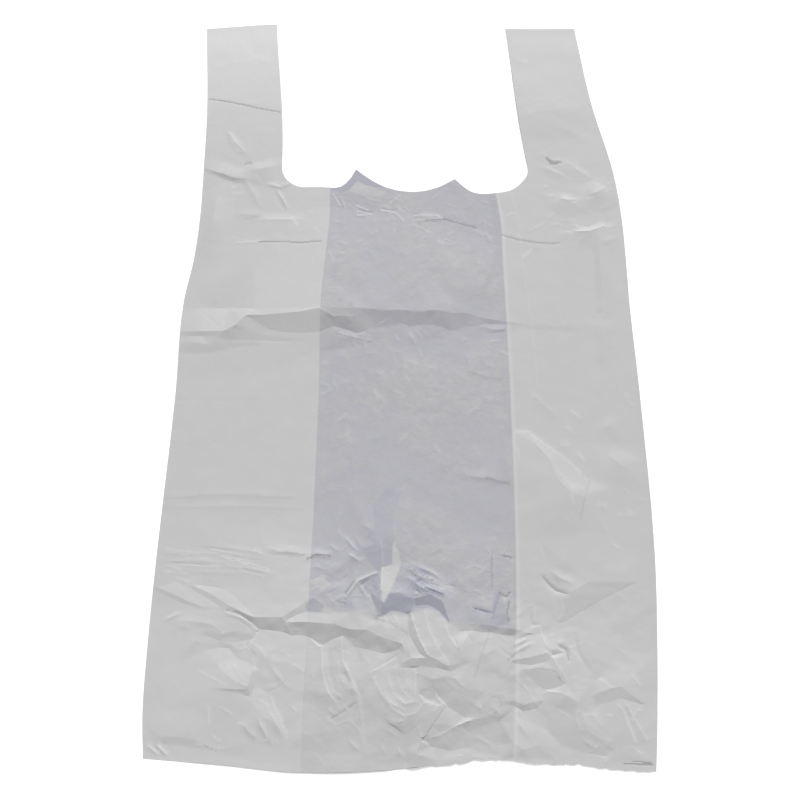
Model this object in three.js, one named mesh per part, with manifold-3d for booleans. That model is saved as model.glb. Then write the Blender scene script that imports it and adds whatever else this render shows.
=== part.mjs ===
// Plastic carrier bag of the vest type, lying on a table as it was put down.
// It is one tube of thin film: a front, a back and a gusset folded in at each side.
// A weld closes the bottom, a die-cut through all four layers leaves two handles and the mouth,
// and a weld closes each handle into a loop.
// Millimetres. X runs across the bag, Y from the bottom weld to the handle tops, Z is up.

import * as THREE from 'three';
import { mergeVertices } from 'three/addons/utils/BufferGeometryUtils.js';
import Module from 'manifold-3d';

// Sizes of the bag pressed flat
const BAG_WIDTH = 298;
const BAG_LENGTH = 532;
const GUSSET_LEFT = 92;
const GUSSET_RIGHT = 83;
const HANDLE_ROOT = 55;
const HANDLE_TIP = 51;

// The die-cut mouth: depth below the handle tops, corner radius, and two points left standing
const MOUTH_DEPTH = 141;
const CORNER_RADIUS = 18.5;
const CUSP_SPACING = 74.6;
const CUSP_RISE_LEFT = 16;
const CUSP_RISE_RIGHT = 9;
const CUSP_REACH_OUT = 16;
const CUSP_REACH_IN = 36;
const CUSP_HOLLOW = 0.45;

// The front has slipped down and curled at the left point, so the back looks out behind it
const FRONT_SLIP = 9;
const FRONT_CURL = 3;
const SLIP_REACH = 26;

// The film is drawn thicker than the real one, and the layers lie a little apart
const FILM = 0.25;
const LAYER_GAP = 0.3;
const WELD_WIDTH = 5;
const WELD_INSET = 0.6;

// Heights and widths of the folds
const FOLD_RISE = 11;
const FOLD_FLANK = 30;
const BOTTOM_PUFF = 4;
const RAMP_WIDTH = 8;
const EDGE_FADE = 14;
const WELD_FADE = 16;
const EDGE_LIFT_SHARE = 0.3;

// How far the bag lies out of square
const SIDE_DRIFT = 15;
const BOTTOM_WAVE = 6;
const BOTTOM_WAVE_REACH = 70;
const TOP_DROP = 4;

// Spacing of the film's grid
const FRONT_STEP = 9.8;
const BACK_STEP = 45;
const CUT_BEND = 16;
const CUT_ROWS = 4;
const HANDLE_ROWS = 11;
const COARSE_EVERY = 6;
const CORNER_STEPS = 3;
const WELD_STEPS = 24;

// Bands of rows from the bottom up: top of the band as a share of the straight rows, and its rows
const ROW_BANDS = [
  [0.045, 3], // bottom weld
  [0.355, 17], // crumpled bottom
  [0.68, 11], // middle
  [0.82, 10], // main fold
  [1, 7], // below the mouth
];

// Folds of the front as straight ridges. Ends are shares of half the width and of the length,
// the rise is a share of FOLD_RISE, and the flanks left and right of the line are shares of FOLD_FLANK.
const FOLDS = [
  // across the middle
  [-0.99, 0.524, -0.79, 0.526, 0.36, 0.9, 0.3],
  [-0.79, 0.526, -0.7, 0.547, 0.42, 0.9, 0.45],
  [-0.7, 0.547, -0.39, 0.556, 0.44, 1, 0.5],
  [-0.39, 0.556, -0.03, 0.551, 0.42, 1, 0.4],
  [-0.03, 0.551, 0.44, 0.541, 0.38, 1, 0.35],
  [0.44, 0.541, 0.68, 0.53, 0.2, 0.9, 0.35],
  [-0.99, 0.509, -0.85, 0.5, 0.3, 0.35, 0.35],
  [-0.85, 0.5, -0.52, 0.513, 0.24, 0.35, 0.35],
  // under the mouth
  [-0.8, 0.654, -0.42, 0.654, 0.16, 0.6, 0.3],
  [0.09, 0.692, 0.32, 0.677, 0.2, 0.6, 0.3],
  [0.44, 0.665, 0.71, 0.652, 0.16, 0.6, 0.3],
  // handle roots and left handle
  [-0.99, 0.765, -0.83, 0.748, 0.42, 0.8, 0.35],
  [-0.83, 0.748, -0.61, 0.735, 0.3, 0.8, 0.35],
  [-1, 0.878, -0.61, 0.852, 0.24, 0.9, 0.3],
  [0.67, 0.795, 0.72, 0.774, 0.3, 0.7, 0.35],
  [0.72, 0.774, 0.95, 0.741, 0.28, 0.6, 0.5],
  // sides below the middle
  [0.46, 0.395, 0.64, 0.365, 0.26, 0.5, 0.6],
  [0.64, 0.365, 0.76, 0.333, 0.32, 0.5, 0.7],
  [0.76, 0.333, 0.72, 0.295, 0.26, 0.5, 0.5],
  [0.22, 0.338, 0.44, 0.325, 0.18, 0.5, 0.35],
  [-0.99, 0.312, -0.48, 0.312, 0.14, 0.4, 0.4],
  [-0.54, 0.244, -0.3, 0.239, 0.16, 0.5, 0.3],
  // crumpled bottom, upper line
  [-0.97, 0.207, -0.71, 0.199, 0.45, 0.7, 0.5],
  [-0.71, 0.199, -0.58, 0.165, 0.55, 0.7, 0.45],
  [-0.58, 0.165, -0.49, 0.165, 0.5, 0.7, 0.35],
  [-0.49, 0.165, -0.34, 0.188, 0.55, 0.7, 0.4],
  [-0.23, 0.188, -0.02, 0.233, 0.6, 0.6, 0.6],
  [-0.02, 0.229, 0.16, 0.197, 0.6, 0.6, 0.5],
  [0.16, 0.197, 0.22, 0.162, 0.5, 0.5, 0.6],
  [0.38, 0.199, 0.29, 0.096, 0.4, 0.5, 0.5],
  [0.54, 0.216, 0.65, 0.192, 0.42, 0.6, 0.4],
  [0.62, 0.162, 0.92, 0.207, 0.4, 0.5, 0.7],
  // crumpled bottom, lower folds
  [-0.44, 0.152, -0.23, 0.152, 0.5, 0.6, 0.4],
  [-0.23, 0.152, -0.09, 0.141, 0.5, 0.5, 0.4],
  [0.02, 0.173, 0.11, 0.118, 0.6, 0.6, 0.4],
  [0.11, 0.118, 0.21, 0.096, 0.55, 0.6, 0.4],
  [0.23, 0.096, 0.26, 0.064, 0.5, 0.6, 0.5],
  [0.12, 0.036, 0.39, 0.055, 0.4, 0.6, 0.5],
  [0.4, 0.118, 0.66, 0.13, 0.45, 0.6, 0.4],
  [0.6, 0.105, 0.7, 0.047, 0.4, 0.6, 0.5],
  [0.69, 0.075, 0.86, 0.085, 0.38, 0.6, 0.4],
  [0.86, 0.085, 0.95, 0.071, 0.32, 0.5, 0.4],
  [-0.32, 0.128, -0.27, 0.053, 0.45, 0.6, 0.5],
  [-0.24, 0.141, -0.15, 0.03, 0.45, 0.5, 0.6],
  [-0.57, 0.141, -0.52, 0.053, 0.4, 0.7, 0.6],
  [-0.93, 0.036, -0.72, 0.03, 0.26, 0.6, 0.4],
];

// Sideways drift of four long lines as shares of SIDE_DRIFT, at shares of the length
const DRIFT_STATIONS = [0, 0.05, 0.14, 0.24, 0.44, 0.57, 0.63, 0.69, 0.76, 0.87, 1];
const DRIFT_LEFT_EDGE = [0.13, 0, 0, 0.09, 0.37, 0.45, 0.76, 0.91, 0.93, 0.89, 0.61];
const DRIFT_LEFT_INNER = [0.07, 0.07, 0.12, 0.2, 0.35, 0.39, 0.57, 0.77, 0.84, 0.81, 0.59];
const DRIFT_RIGHT_INNER = [-0.13, 0.01, 0.17, 0.3, 0.29, 0.19, 0.1, 0, -0.53, -1.08, -1.56];
const DRIFT_RIGHT_EDGE = [-0.2, -0.03, 0.21, 0.38, 0.28, 0.13, 0.12, 0.07, -0.17, -0.95, -1.53];

// Wave of the bottom edge and drop of the handle tops, as shares, at shares of the width
const WAVE_STATIONS = [0, 0.15, 0.3, 0.43, 0.53, 0.6, 0.68, 0.79, 0.86, 0.93, 1];
const WAVE_SHARES = [1, 0.38, -0.33, -0.27, 0.1, 0.38, 0.85, 0.42, 0.3, -0.22, -0.27];
const TOP_STATIONS = [0, 0.17, 0.83, 1];
const TOP_SHARES = [-1, 0, -1, -1];

// Places worked out from the sizes
const HALF_WIDTH = BAG_WIDTH / 2;
const HANDLE_INNER = HALF_WIDTH - HANDLE_ROOT;
const FOLD_LEFT = GUSSET_LEFT - HALF_WIDTH;
const FOLD_RIGHT = HALF_WIDTH - GUSSET_RIGHT;
const MOUTH_LINE = BAG_LENGTH - MOUTH_DEPTH;
const HANDLE_START = MOUTH_LINE + CORNER_RADIUS;
const STRAIGHT_TOP = MOUTH_LINE - CUT_BEND;
const CUSP_X = CUSP_SPACING / 2;
const LAYER_PITCH = FILM + LAYER_GAP;
const FRONT_LEVEL = 3;

// The film as one loop of panels: its level in the stack, its run across, and which way its outside faces
const PANELS = [
  { level: FRONT_LEVEL, from: -HALF_WIDTH, to: HALF_WIDTH, facing: 1, step: FRONT_STEP, fine: true },
  { level: 2, from: HALF_WIDTH, to: FOLD_RIGHT, facing: -1, step: BAG_WIDTH, fine: false },
  { level: 1, from: FOLD_RIGHT, to: HALF_WIDTH, facing: 1, step: BAG_WIDTH, fine: false },
  { level: 0, from: HALF_WIDTH, to: -HALF_WIDTH, facing: -1, step: BACK_STEP, fine: false },
  { level: 1, from: -HALF_WIDTH, to: FOLD_LEFT, facing: 1, step: BAG_WIDTH, fine: false },
  { level: 2, from: FOLD_LEFT, to: -HALF_WIDTH, facing: -1, step: BAG_WIDTH, fine: false },
];

const { clamp, lerp, smoothstep } = THREE.MathUtils;

// Height of the middle of the film at a level of the stack
function levelHeight(level) {
  return FILM / 2 + level * LAYER_PITCH;
}

// A smooth curve through hand-set shares, scaled to a real size
function guide(stations, shares, size) {
  const curve = new THREE.CubicInterpolant(stations, shares, 1);
  return (place) => curve.evaluate(clamp(place, 0, 1))[0] * size;
}

const driftLeftEdge = guide(DRIFT_STATIONS, DRIFT_LEFT_EDGE, SIDE_DRIFT);
const driftLeftInner = guide(DRIFT_STATIONS, DRIFT_LEFT_INNER, SIDE_DRIFT);
const driftRightInner = guide(DRIFT_STATIONS, DRIFT_RIGHT_INNER, SIDE_DRIFT);
const driftRightEdge = guide(DRIFT_STATIONS, DRIFT_RIGHT_EDGE, SIDE_DRIFT);
const bottomWave = guide(WAVE_STATIONS, WAVE_SHARES, BOTTOM_WAVE);
const topDrop = guide(TOP_STATIONS, TOP_SHARES, TOP_DROP);

// Moves a point of the flat bag to where it lies on the table
function lay(x, y) {
  const along = y / BAG_LENGTH;
  const across = x / BAG_WIDTH + 0.5;
  const handleShare = clamp((Math.abs(x) - HANDLE_INNER) / HANDLE_ROOT, 0, 1);
  let drift;
  if (x < -HANDLE_INNER) {
    drift = lerp(driftLeftInner(along), driftLeftEdge(along), handleShare);
  } else if (x > HANDLE_INNER) {
    drift = lerp(driftRightInner(along), driftRightEdge(along), handleShare);
  } else {
    const between = (x + HANDLE_INNER) / (2 * HANDLE_INNER);
    drift = lerp(driftLeftInner(along), driftRightInner(along), between);
  }
  const nearBottom = 1 - smoothstep(y, 0, BOTTOM_WAVE_REACH);
  const nearTop = smoothstep(y, HANDLE_START, BAG_LENGTH);
  return [x + drift, y + bottomWave(across) * nearBottom + topDrop(across) * nearTop];
}

// One standing point of the mouth: a hollow curve falling away on both sides
function cusp(x, centre, rise) {
  const outward = (x - centre) * Math.sign(centre) > 0;
  const reach = outward ? CUSP_REACH_OUT : CUSP_REACH_IN;
  const share = clamp(1 - Math.abs(x - centre) / reach, 0, 1);
  return rise * share * share;
}

// Upper end of the body's film at x: the die-cut mouth, or the foot of a handle
function bodyTop(x) {
  const reach = Math.abs(x) - (HANDLE_INNER - CORNER_RADIUS);
  if (reach >= CORNER_RADIUS) return HANDLE_START;
  if (reach > 0) return HANDLE_START - Math.sqrt(CORNER_RADIUS ** 2 - reach ** 2);
  return MOUTH_LINE + cusp(x, -CUSP_X, CUSP_RISE_LEFT) + cusp(x, CUSP_X, CUSP_RISE_RIGHT);
}

// Share of the front's slip at x, full at the left point of the mouth
function slipShare(x) {
  return 1 - smoothstep(Math.abs(x + CUSP_X), 0, SLIP_REACH);
}

// Height of one fold at a point: a tent with a flank on each side and tapered ends
function foldHeight([x1, y1, x2, y2, rise, leftFlank, rightFlank], x, y) {
  const startX = x1 * HALF_WIDTH;
  const startY = y1 * BAG_LENGTH;
  const runX = x2 * HALF_WIDTH - startX;
  const runY = y2 * BAG_LENGTH - startY;
  const length = Math.hypot(runX, runY);
  const along = ((x - startX) * runX + (y - startY) * runY) / length;
  const aside = ((y - startY) * runX - (x - startX) * runY) / length;
  const past = Math.max(-along, along - length, 0);
  const flank = FOLD_FLANK * (aside > 0 ? leftFlank : rightFlank);
  return rise * FOLD_RISE * Math.max(0, 1 - Math.hypot(aside, past) / flank);
}

// Height of the front's folds, the puffed bottom and the curl at the mouth
function relief(x, y) {
  const folds = Math.max(...FOLDS.map((fold) => foldHeight(fold, x, y)));
  const puffTop = ROW_BANDS[1][0] * STRAIGHT_TOP;
  const puff = BOTTOM_PUFF * (1 - smoothstep(y, puffTop / 2, puffTop));
  const fromSide = smoothstep(HALF_WIDTH - Math.abs(x), 0, EDGE_FADE);
  const fromBottom = smoothstep(y, WELD_WIDTH, WELD_WIDTH + WELD_FADE);
  const fromTop = smoothstep(BAG_LENGTH - y, WELD_WIDTH, WELD_WIDTH + WELD_FADE);
  const curl = FRONT_CURL * slipShare(x) * smoothstep(y, STRAIGHT_TOP, MOUTH_LINE);
  const fade = lerp(EDGE_LIFT_SHARE, 1, fromSide) * fromBottom * fromTop;
  return (folds + puff) * fade + curl;
}

// Height of the front: over the gussets on top of four layers, between them down on the back
function frontHeight(x, y) {
  const inside = clamp(Math.min(x - FOLD_LEFT, FOLD_RIGHT - x) / RAMP_WIDTH, 0, 1);
  const clearOfWeld = smoothstep(y, WELD_WIDTH, WELD_WIDTH + WELD_FADE);
  const level = FRONT_LEVEL - 2 * inside * clearOfWeld;
  return levelHeight(level) + relief(x, y);
}

// Values between two ends, passing through the marks and no further apart than the step
function divide(from, to, marks, step) {
  const low = Math.min(from, to);
  const high = Math.max(from, to);
  const within = marks.filter((mark) => mark > low && mark < high);
  const stops = [...new Set([low, ...within, high])].sort((a, b) => a - b);
  const values = [low];
  for (let i = 1; i < stops.length; i += 1) {
    const count = Math.ceil((stops[i] - stops[i - 1]) / step);
    for (let k = 1; k <= count; k += 1) values.push(lerp(stops[i - 1], stops[i], k / count));
  }
  return from < to ? values : values.reverse();
}

// Places across the bag that every panel's columns pass through
function cutMarks() {
  const marks = [];
  for (const side of [-1, 1]) {
    for (let k = 0; k <= CORNER_STEPS; k += 1) {
      const angle = (k / CORNER_STEPS) * (Math.PI / 2);
      marks.push(side * (HANDLE_INNER - CORNER_RADIUS + CORNER_RADIUS * Math.cos(angle)));
    }
    for (const share of [0, CUSP_HOLLOW, 1]) {
      marks.push(side * (CUSP_X + share * CUSP_REACH_OUT));
    }
    marks.push(side * (CUSP_X - CUSP_HOLLOW * CUSP_REACH_IN));
  }
  return marks;
}

// Places that only the front's columns pass through: the gusset folds and the foot of each ramp
const FRONT_MARKS = [FOLD_LEFT, FOLD_LEFT + RAMP_WIDTH, FOLD_RIGHT - RAMP_WIDTH, FOLD_RIGHT];

// Heights of the straight rows of the body
function straightRows() {
  const rows = [0];
  let low = 0;
  for (const [high, count] of ROW_BANDS) {
    for (let k = 1; k <= count; k += 1) rows.push(lerp(low, high, k / count) * STRAIGHT_TOP);
    low = high;
  }
  return rows;
}

const ROWS = straightRows();
const BODY_LAST_ROW = ROWS.length - 1 + CUT_ROWS;

// The film's points and the triangles between them, before it has thickness
const film = { points: [], triangles: [] };

// Adds one film point of a panel at its flat place
function addPoint(panel, x, y, row, outerShift, innerShift) {
  const [laidX, laidY] = lay(x, y);
  const height = panel.fine ? frontHeight(x, y) : levelHeight(panel.level);
  const point = { panel, x, y, row, laidX, laidY, height, outerShift, innerShift };
  point.index = film.points.push(point) - 1;
  return point;
}

// One column of film points from the bottom to the mouth or, at a handle, to its top
function addColumn(panel, x, outerShift, innerShift) {
  const keeps = (row, last) => panel.fine || row % COARSE_EVERY === 0 || row === last;
  const column = [];
  const slip = panel.fine ? FRONT_SLIP * slipShare(x) : 0;
  const top = bodyTop(x) - slip;
  for (let row = 0; row <= BODY_LAST_ROW; row += 1) {
    const cutShare = (row - (ROWS.length - 1)) / CUT_ROWS;
    const y = cutShare > 0 ? lerp(STRAIGHT_TOP, top, cutShare) : ROWS[row];
    if (keeps(row, BODY_LAST_ROW)) column.push(addPoint(panel, x, y, row, outerShift, innerShift));
  }
  column.bodyPoints = column.length;
  if (Math.abs(x) < HANDLE_INNER) return column;
  for (let k = 1; k <= HANDLE_ROWS; k += 1) {
    const width = lerp(HANDLE_ROOT, HANDLE_TIP, k / HANDLE_ROWS) / HANDLE_ROOT;
    const taperedX = Math.sign(x) * (HALF_WIDTH - (HALF_WIDTH - Math.abs(x)) * width);
    const y = lerp(HANDLE_START, BAG_LENGTH, k / HANDLE_ROWS);
    if (!keeps(k, HANDLE_ROWS)) continue;
    column.push(addPoint(panel, taperedX, y, BODY_LAST_ROW + k, outerShift, innerShift));
  }
  return column;
}

// Splits a four-sided patch along the diagonal that lies closer to the folded front
function addPatch(a, b, c, d) {
  const x = (a.x + b.x + c.x + d.x) / 4;
  const y = (a.y + b.y + c.y + d.y) / 4;
  const centre = a.panel.fine && b.panel.fine ? frontHeight(x, y) : 0;
  const offRising = Math.abs((a.height + c.height) / 2 - centre);
  const offFalling = Math.abs((b.height + d.height) / 2 - centre);
  if (offRising <= offFalling) film.triangles.push([a, b, c], [a, c, d]);
  else film.triangles.push([a, b, d], [b, c, d]);
}

// Joins two neighbouring columns, also where one has fewer rows
function stitch(left, right) {
  const shared = left.length === left.bodyPoints || right.length === right.bodyPoints;
  const lastLeft = (shared ? left.bodyPoints : left.length) - 1;
  const lastRight = (shared ? right.bodyPoints : right.length) - 1;
  let i = 0;
  let j = 0;
  while (i < lastLeft || j < lastRight) {
    const nextLeft = i < lastLeft ? left[i + 1].row : Infinity;
    const nextRight = j < lastRight ? right[j + 1].row : Infinity;
    if (nextLeft === nextRight && left[i].row === right[j].row) {
      addPatch(left[i], right[j], right[j + 1], left[i + 1]);
      i += 1;
      j += 1;
    } else if (nextLeft < nextRight) {
      film.triangles.push([left[i], right[j], left[i + 1]]);
      i += 1;
    } else {
      film.triangles.push([left[i], right[j], right[j + 1]]);
      j += 1;
    }
  }
}

// Lays out every panel and closes the loop. At a fold the film keeps its thickness round the bend.
function layOutFilm() {
  const marks = cutMarks();
  const columns = [];
  for (const panel of PANELS) {
    const panelMarks = panel.fine ? [...marks, ...FRONT_MARKS] : marks;
    for (const x of divide(panel.from, panel.to, panelMarks, panel.step)) {
      const side = Math.sign(x);
      const atEdge = Math.abs(x) === HALF_WIDTH;
      const atGusset = !panel.fine && panel.level > 0 && (x === FOLD_LEFT || x === FOLD_RIGHT);
      const gussetSide = x === FOLD_LEFT ? -1 : 1;
      columns.push(addColumn(panel, x, atGusset ? gussetSide * FILM : 0, atEdge ? -side * FILM : 0));
    }
  }
  columns.forEach((column, i) => stitch(column, columns[(i + 1) % columns.length]));
}

// Gives the film its thickness and closes it along every free edge
function filmGeometry() {
  const positions = [];
  for (const point of film.points) {
    const half = (FILM / 2) * point.panel.facing;
    positions.push(point.laidX + point.outerShift, point.laidY, point.height + half);
    positions.push(point.laidX + point.innerShift, point.laidY, point.height - half);
  }
  const indices = [];
  const edges = new Map();
  for (const triangle of film.triangles) {
    const [a, b, c] = triangle.map((point) => point.index * 2);
    indices.push(a, b, c, a + 1, c + 1, b + 1);
    for (const [start, end] of [[a, b], [b, c], [c, a]]) {
      if (!edges.delete(`${end},${start}`)) edges.set(`${start},${end}`, [start, end]);
    }
  }
  for (const [start, end] of edges.values()) {
    indices.push(end, start, start + 1, end, start + 1, end + 1);
  }
  const geometry = new THREE.BufferGeometry();
  geometry.setAttribute('position', new THREE.Float32BufferAttribute(positions, 3));
  geometry.setIndex(indices);
  return geometry;
}

// A weld across all layers: a flat bar from the middle of the back's film to that of the front's
function weldGeometry(fromX, toX, lowY, highY, steps) {
  const bottom = levelHeight(0);
  const top = levelHeight(FRONT_LEVEL);
  const bar = new THREE.BoxGeometry(toX - fromX, highY - lowY, top - bottom, steps, 1, 1);
  bar.translate((fromX + toX) / 2, (lowY + highY) / 2, (bottom + top) / 2);
  const places = bar.attributes.position;
  for (let i = 0; i < places.count; i += 1) {
    const [x, y] = lay(places.getX(i), places.getY(i));
    places.setXY(i, x, y);
  }
  return bar;
}

const wasm = await Module();
wasm.setup();

// Turns a closed geometry into a solid that can be joined
function toSolid(geometry) {
  geometry.deleteAttribute('normal');
  geometry.deleteAttribute('uv');
  const merged = mergeVertices(geometry);
  const mesh = new wasm.Mesh({
    numProp: 3,
    vertProperties: merged.attributes.position.array,
    triVerts: new Uint32Array(merged.index.array),
  });
  return new wasm.Manifold(mesh);
}

// Turns a joined solid back into a geometry
function toGeometry(solid) {
  const mesh = solid.getMesh();
  const geometry = new THREE.BufferGeometry();
  geometry.setAttribute('position', new THREE.Float32BufferAttribute(mesh.vertProperties, 3));
  geometry.setIndex(Array.from(mesh.triVerts));
  return geometry;
}

// The whole bag: film, bottom weld and the weld at the top of each handle
function bagGeometry() {
  layOutFilm();
  const side = HALF_WIDTH - FILM - WELD_INSET;
  const handleSide = HALF_WIDTH - HANDLE_TIP + WELD_INSET;
  const weldTop = BAG_LENGTH - WELD_INSET;
  const weldFoot = BAG_LENGTH - WELD_WIDTH;
  const bag = toSolid(filmGeometry())
    .add(toSolid(weldGeometry(-side, side, WELD_INSET, WELD_WIDTH, WELD_STEPS)))
    .add(toSolid(weldGeometry(-side, -handleSide, weldFoot, weldTop, 1)))
    .add(toSolid(weldGeometry(handleSide, side, weldFoot, weldTop, 1)));
  const geometry = toGeometry(bag);
  geometry.computeBoundingBox();
  const { min, max } = geometry.boundingBox;
  geometry.translate(-(min.x + max.x) / 2, -(min.y + max.y) / 2, -min.z);
  geometry.computeVertexNormals();
  return geometry;
}

const filmMaterial = new THREE.MeshStandardMaterial({ color: 0xc4c4c6, roughness: 0.45, metalness: 0 });
const bag = new THREE.Mesh(bagGeometry(), filmMaterial);
bag.name = 'carrier_bag';

const model = new THREE.Group();
model.add(bag);

export default model;
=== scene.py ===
"""A plastic carrier bag laid flat and slightly crumpled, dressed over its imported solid."""
import math

import bmesh
import bpy
import numpy as np
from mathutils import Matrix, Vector
from mathutils.bvhtree import BVHTree
from mathutils.geometry import delaunay_2d_cdt


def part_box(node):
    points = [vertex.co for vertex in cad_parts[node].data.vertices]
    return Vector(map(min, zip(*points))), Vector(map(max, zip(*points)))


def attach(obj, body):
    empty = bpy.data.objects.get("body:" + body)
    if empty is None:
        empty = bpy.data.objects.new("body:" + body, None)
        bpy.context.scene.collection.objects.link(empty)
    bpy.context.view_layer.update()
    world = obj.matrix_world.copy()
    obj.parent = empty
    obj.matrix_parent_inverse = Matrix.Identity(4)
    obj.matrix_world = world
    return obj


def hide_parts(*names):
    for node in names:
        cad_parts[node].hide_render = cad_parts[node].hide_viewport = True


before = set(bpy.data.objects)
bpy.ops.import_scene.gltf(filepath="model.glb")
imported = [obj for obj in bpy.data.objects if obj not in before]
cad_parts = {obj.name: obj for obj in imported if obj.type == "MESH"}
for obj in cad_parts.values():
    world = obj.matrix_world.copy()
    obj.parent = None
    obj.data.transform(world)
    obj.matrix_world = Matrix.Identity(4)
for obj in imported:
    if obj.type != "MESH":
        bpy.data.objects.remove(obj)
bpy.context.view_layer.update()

bl_info = {
    "name": "Carrier bag",
    "version": (1, 0, 0),
    "blender": (4, 5, 0),
    "location": "3D View > Sidebar > Carrier bag",
    "description": "Film, folds and studio stage of a flat plastic carrier bag",
    "category": "Object",
}

NODE = "carrier_bag"
MM = 0.001

# The flat bag in millimetres: x from its middle, y from its bottom edge
BAG_WIDTH = 298.0
BAG_LENGTH = 532.0
HALF_WIDTH = BAG_WIDTH / 2
GUSSET_LEFT = 92.0
GUSSET_RIGHT = 83.0
FOLD_LEFT = GUSSET_LEFT - HALF_WIDTH
FOLD_RIGHT = HALF_WIDTH - GUSSET_RIGHT

# The die-cut mouth and the handles
HANDLE_ROOT = 55.0
HANDLE_TIP = 51.0
HANDLE_INNER = HALF_WIDTH - HANDLE_ROOT
MOUTH_DEPTH = 141.0
MOUTH_LINE = BAG_LENGTH - MOUTH_DEPTH
CORNER_RADIUS = 18.5
HANDLE_START = MOUTH_LINE + CORNER_RADIUS
CUT_BEND = 16.0
STRAIGHT_TOP = MOUTH_LINE - CUT_BEND
CUSP_X = 37.3
CUSP_RISE = {-1: 16.0, 1: 9.0}
CUSP_REACH_OUT = 16.0
CUSP_REACH_IN = 36.0
FRONT_SLIP = 9.0
FRONT_CURL = 0.3
SLIP_REACH = 26.0

# Heights of the four layers, and how the folds of the front settle towards its edges and welds
FILM_HALF = 0.125
LAYER_PITCH = 0.2
WELD_PITCH_SHARE = 0.15
FRONT_LEVEL = 3
RAMP_WIDTH = 6.0
WELD_OPENING = 10.0
LAYER_OPENING = 24.0
WELD_LIFT_SHARE = 0.9
HEM_SINK = 0.8
HEM_SINK_REACH = 60.0
EDGE_FADE = 14.0
EDGE_LIFT_SHARE = 0.6

# How the bag lies: its sides drift, its bottom edge waves, its mouth sags and its handle tops drop
SIDE_DRIFT = 15.0
DRIFT_STATIONS = (0, 0.05, 0.14, 0.24, 0.44, 0.57, 0.63, 0.69, 0.76, 0.87, 1)
DRIFT_LEFT_EDGE = (0.13, 0, 0, 0.09, 0.37, 0.45, 0.76, 0.91, 0.93, 0.89, 0.61)
DRIFT_LEFT_INNER = (0.07, 0.07, 0.12, 0.2, 0.35, 0.39, 0.57, 0.77, 0.84, 0.81, 0.59)
DRIFT_RIGHT_INNER = (-0.13, 0.01, 0.17, 0.3, 0.29, 0.19, 0.1, 0.03, -0.36, -0.92, -1.46)
DRIFT_RIGHT_EDGE = (-0.2, -0.03, 0.21, 0.38, 0.28, 0.13, 0.12, 0.07, -0.17, -0.95, -1.53)
BOTTOM_WAVE = 6.0
BOTTOM_WAVE_REACH = 70.0
WAVE_STATIONS = (0, 0.15, 0.3, 0.43, 0.53, 0.6, 0.68, 0.79, 0.86, 0.93, 1)
WAVE_SHARES = (1, 0.38, -0.33, -0.27, 0.1, 0.38, 0.85, 0.42, 0.3, -0.22, -0.27)
MOUTH_SAG = 4.0
MOUTH_SAG_FROM = 300.0
MOUTH_STATIONS = (
    0, 0.185, 0.25, 0.3, 0.366, 0.45, 0.534, 0.584, 0.624, 0.668, 0.7, 0.742, 0.77, 0.795, 0.815, 0.86, 1,
)
MOUTH_SHARES = (
    0, 0.15, 0.3, 0.3, 0.15, -0.25, -0.65, -0.55, -0.35, -0.85, -1, -0.7, -0.15, 0.45, 0.35, 0, 0,
)
TOP_DROP = 4.0
TOP_STATIONS = (0, 0.17, 0.83, 1)
TOP_SHARES = (-1, 0, -1, -1)

# The bottom edge is torn uneven on its right half, which starts between two places across
TORN_DEPTH = 1.5
TORN_STEP = 2.3
TORN_REACH = 6.0
TORN_FROM = (6.0, 26.0)
TORN_SEED = 3

# Mesh steps of the front and of the layers under it; each band has its end and its number of rows
HANDLE_STEP = 1.25
MIDDLE_STEP = 1.1
UNDER_STEP = 14.0
UNDER_CUT_STEP = 4.0
CORNER_MARKS = (0.25, 1.0, 2.2, 4.0)
BODY_BANDS = ((0.0, 0), (135.0, 144), (262.0, 60), (302.0, 40), (342.0, 16), (STRAIGHT_TOP, 28))
HANDLE_BANDS = ((HANDLE_START, 0), (448.0, 24), (470.0, 24), (BAG_LENGTH, 20))
CUT_ROWS = 24
BODY_ROWS = sum(count for _, count in BODY_BANDS) + CUT_ROWS
HANDLE_ROWS = sum(count for _, count in HANDLE_BANDS)
UNDER_EVERY = 4
GRID_LAYERS = ("sheet", "column", "row")
FRONT, UNDER = 0, 1
ON_EDGE = 1e-6

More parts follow.
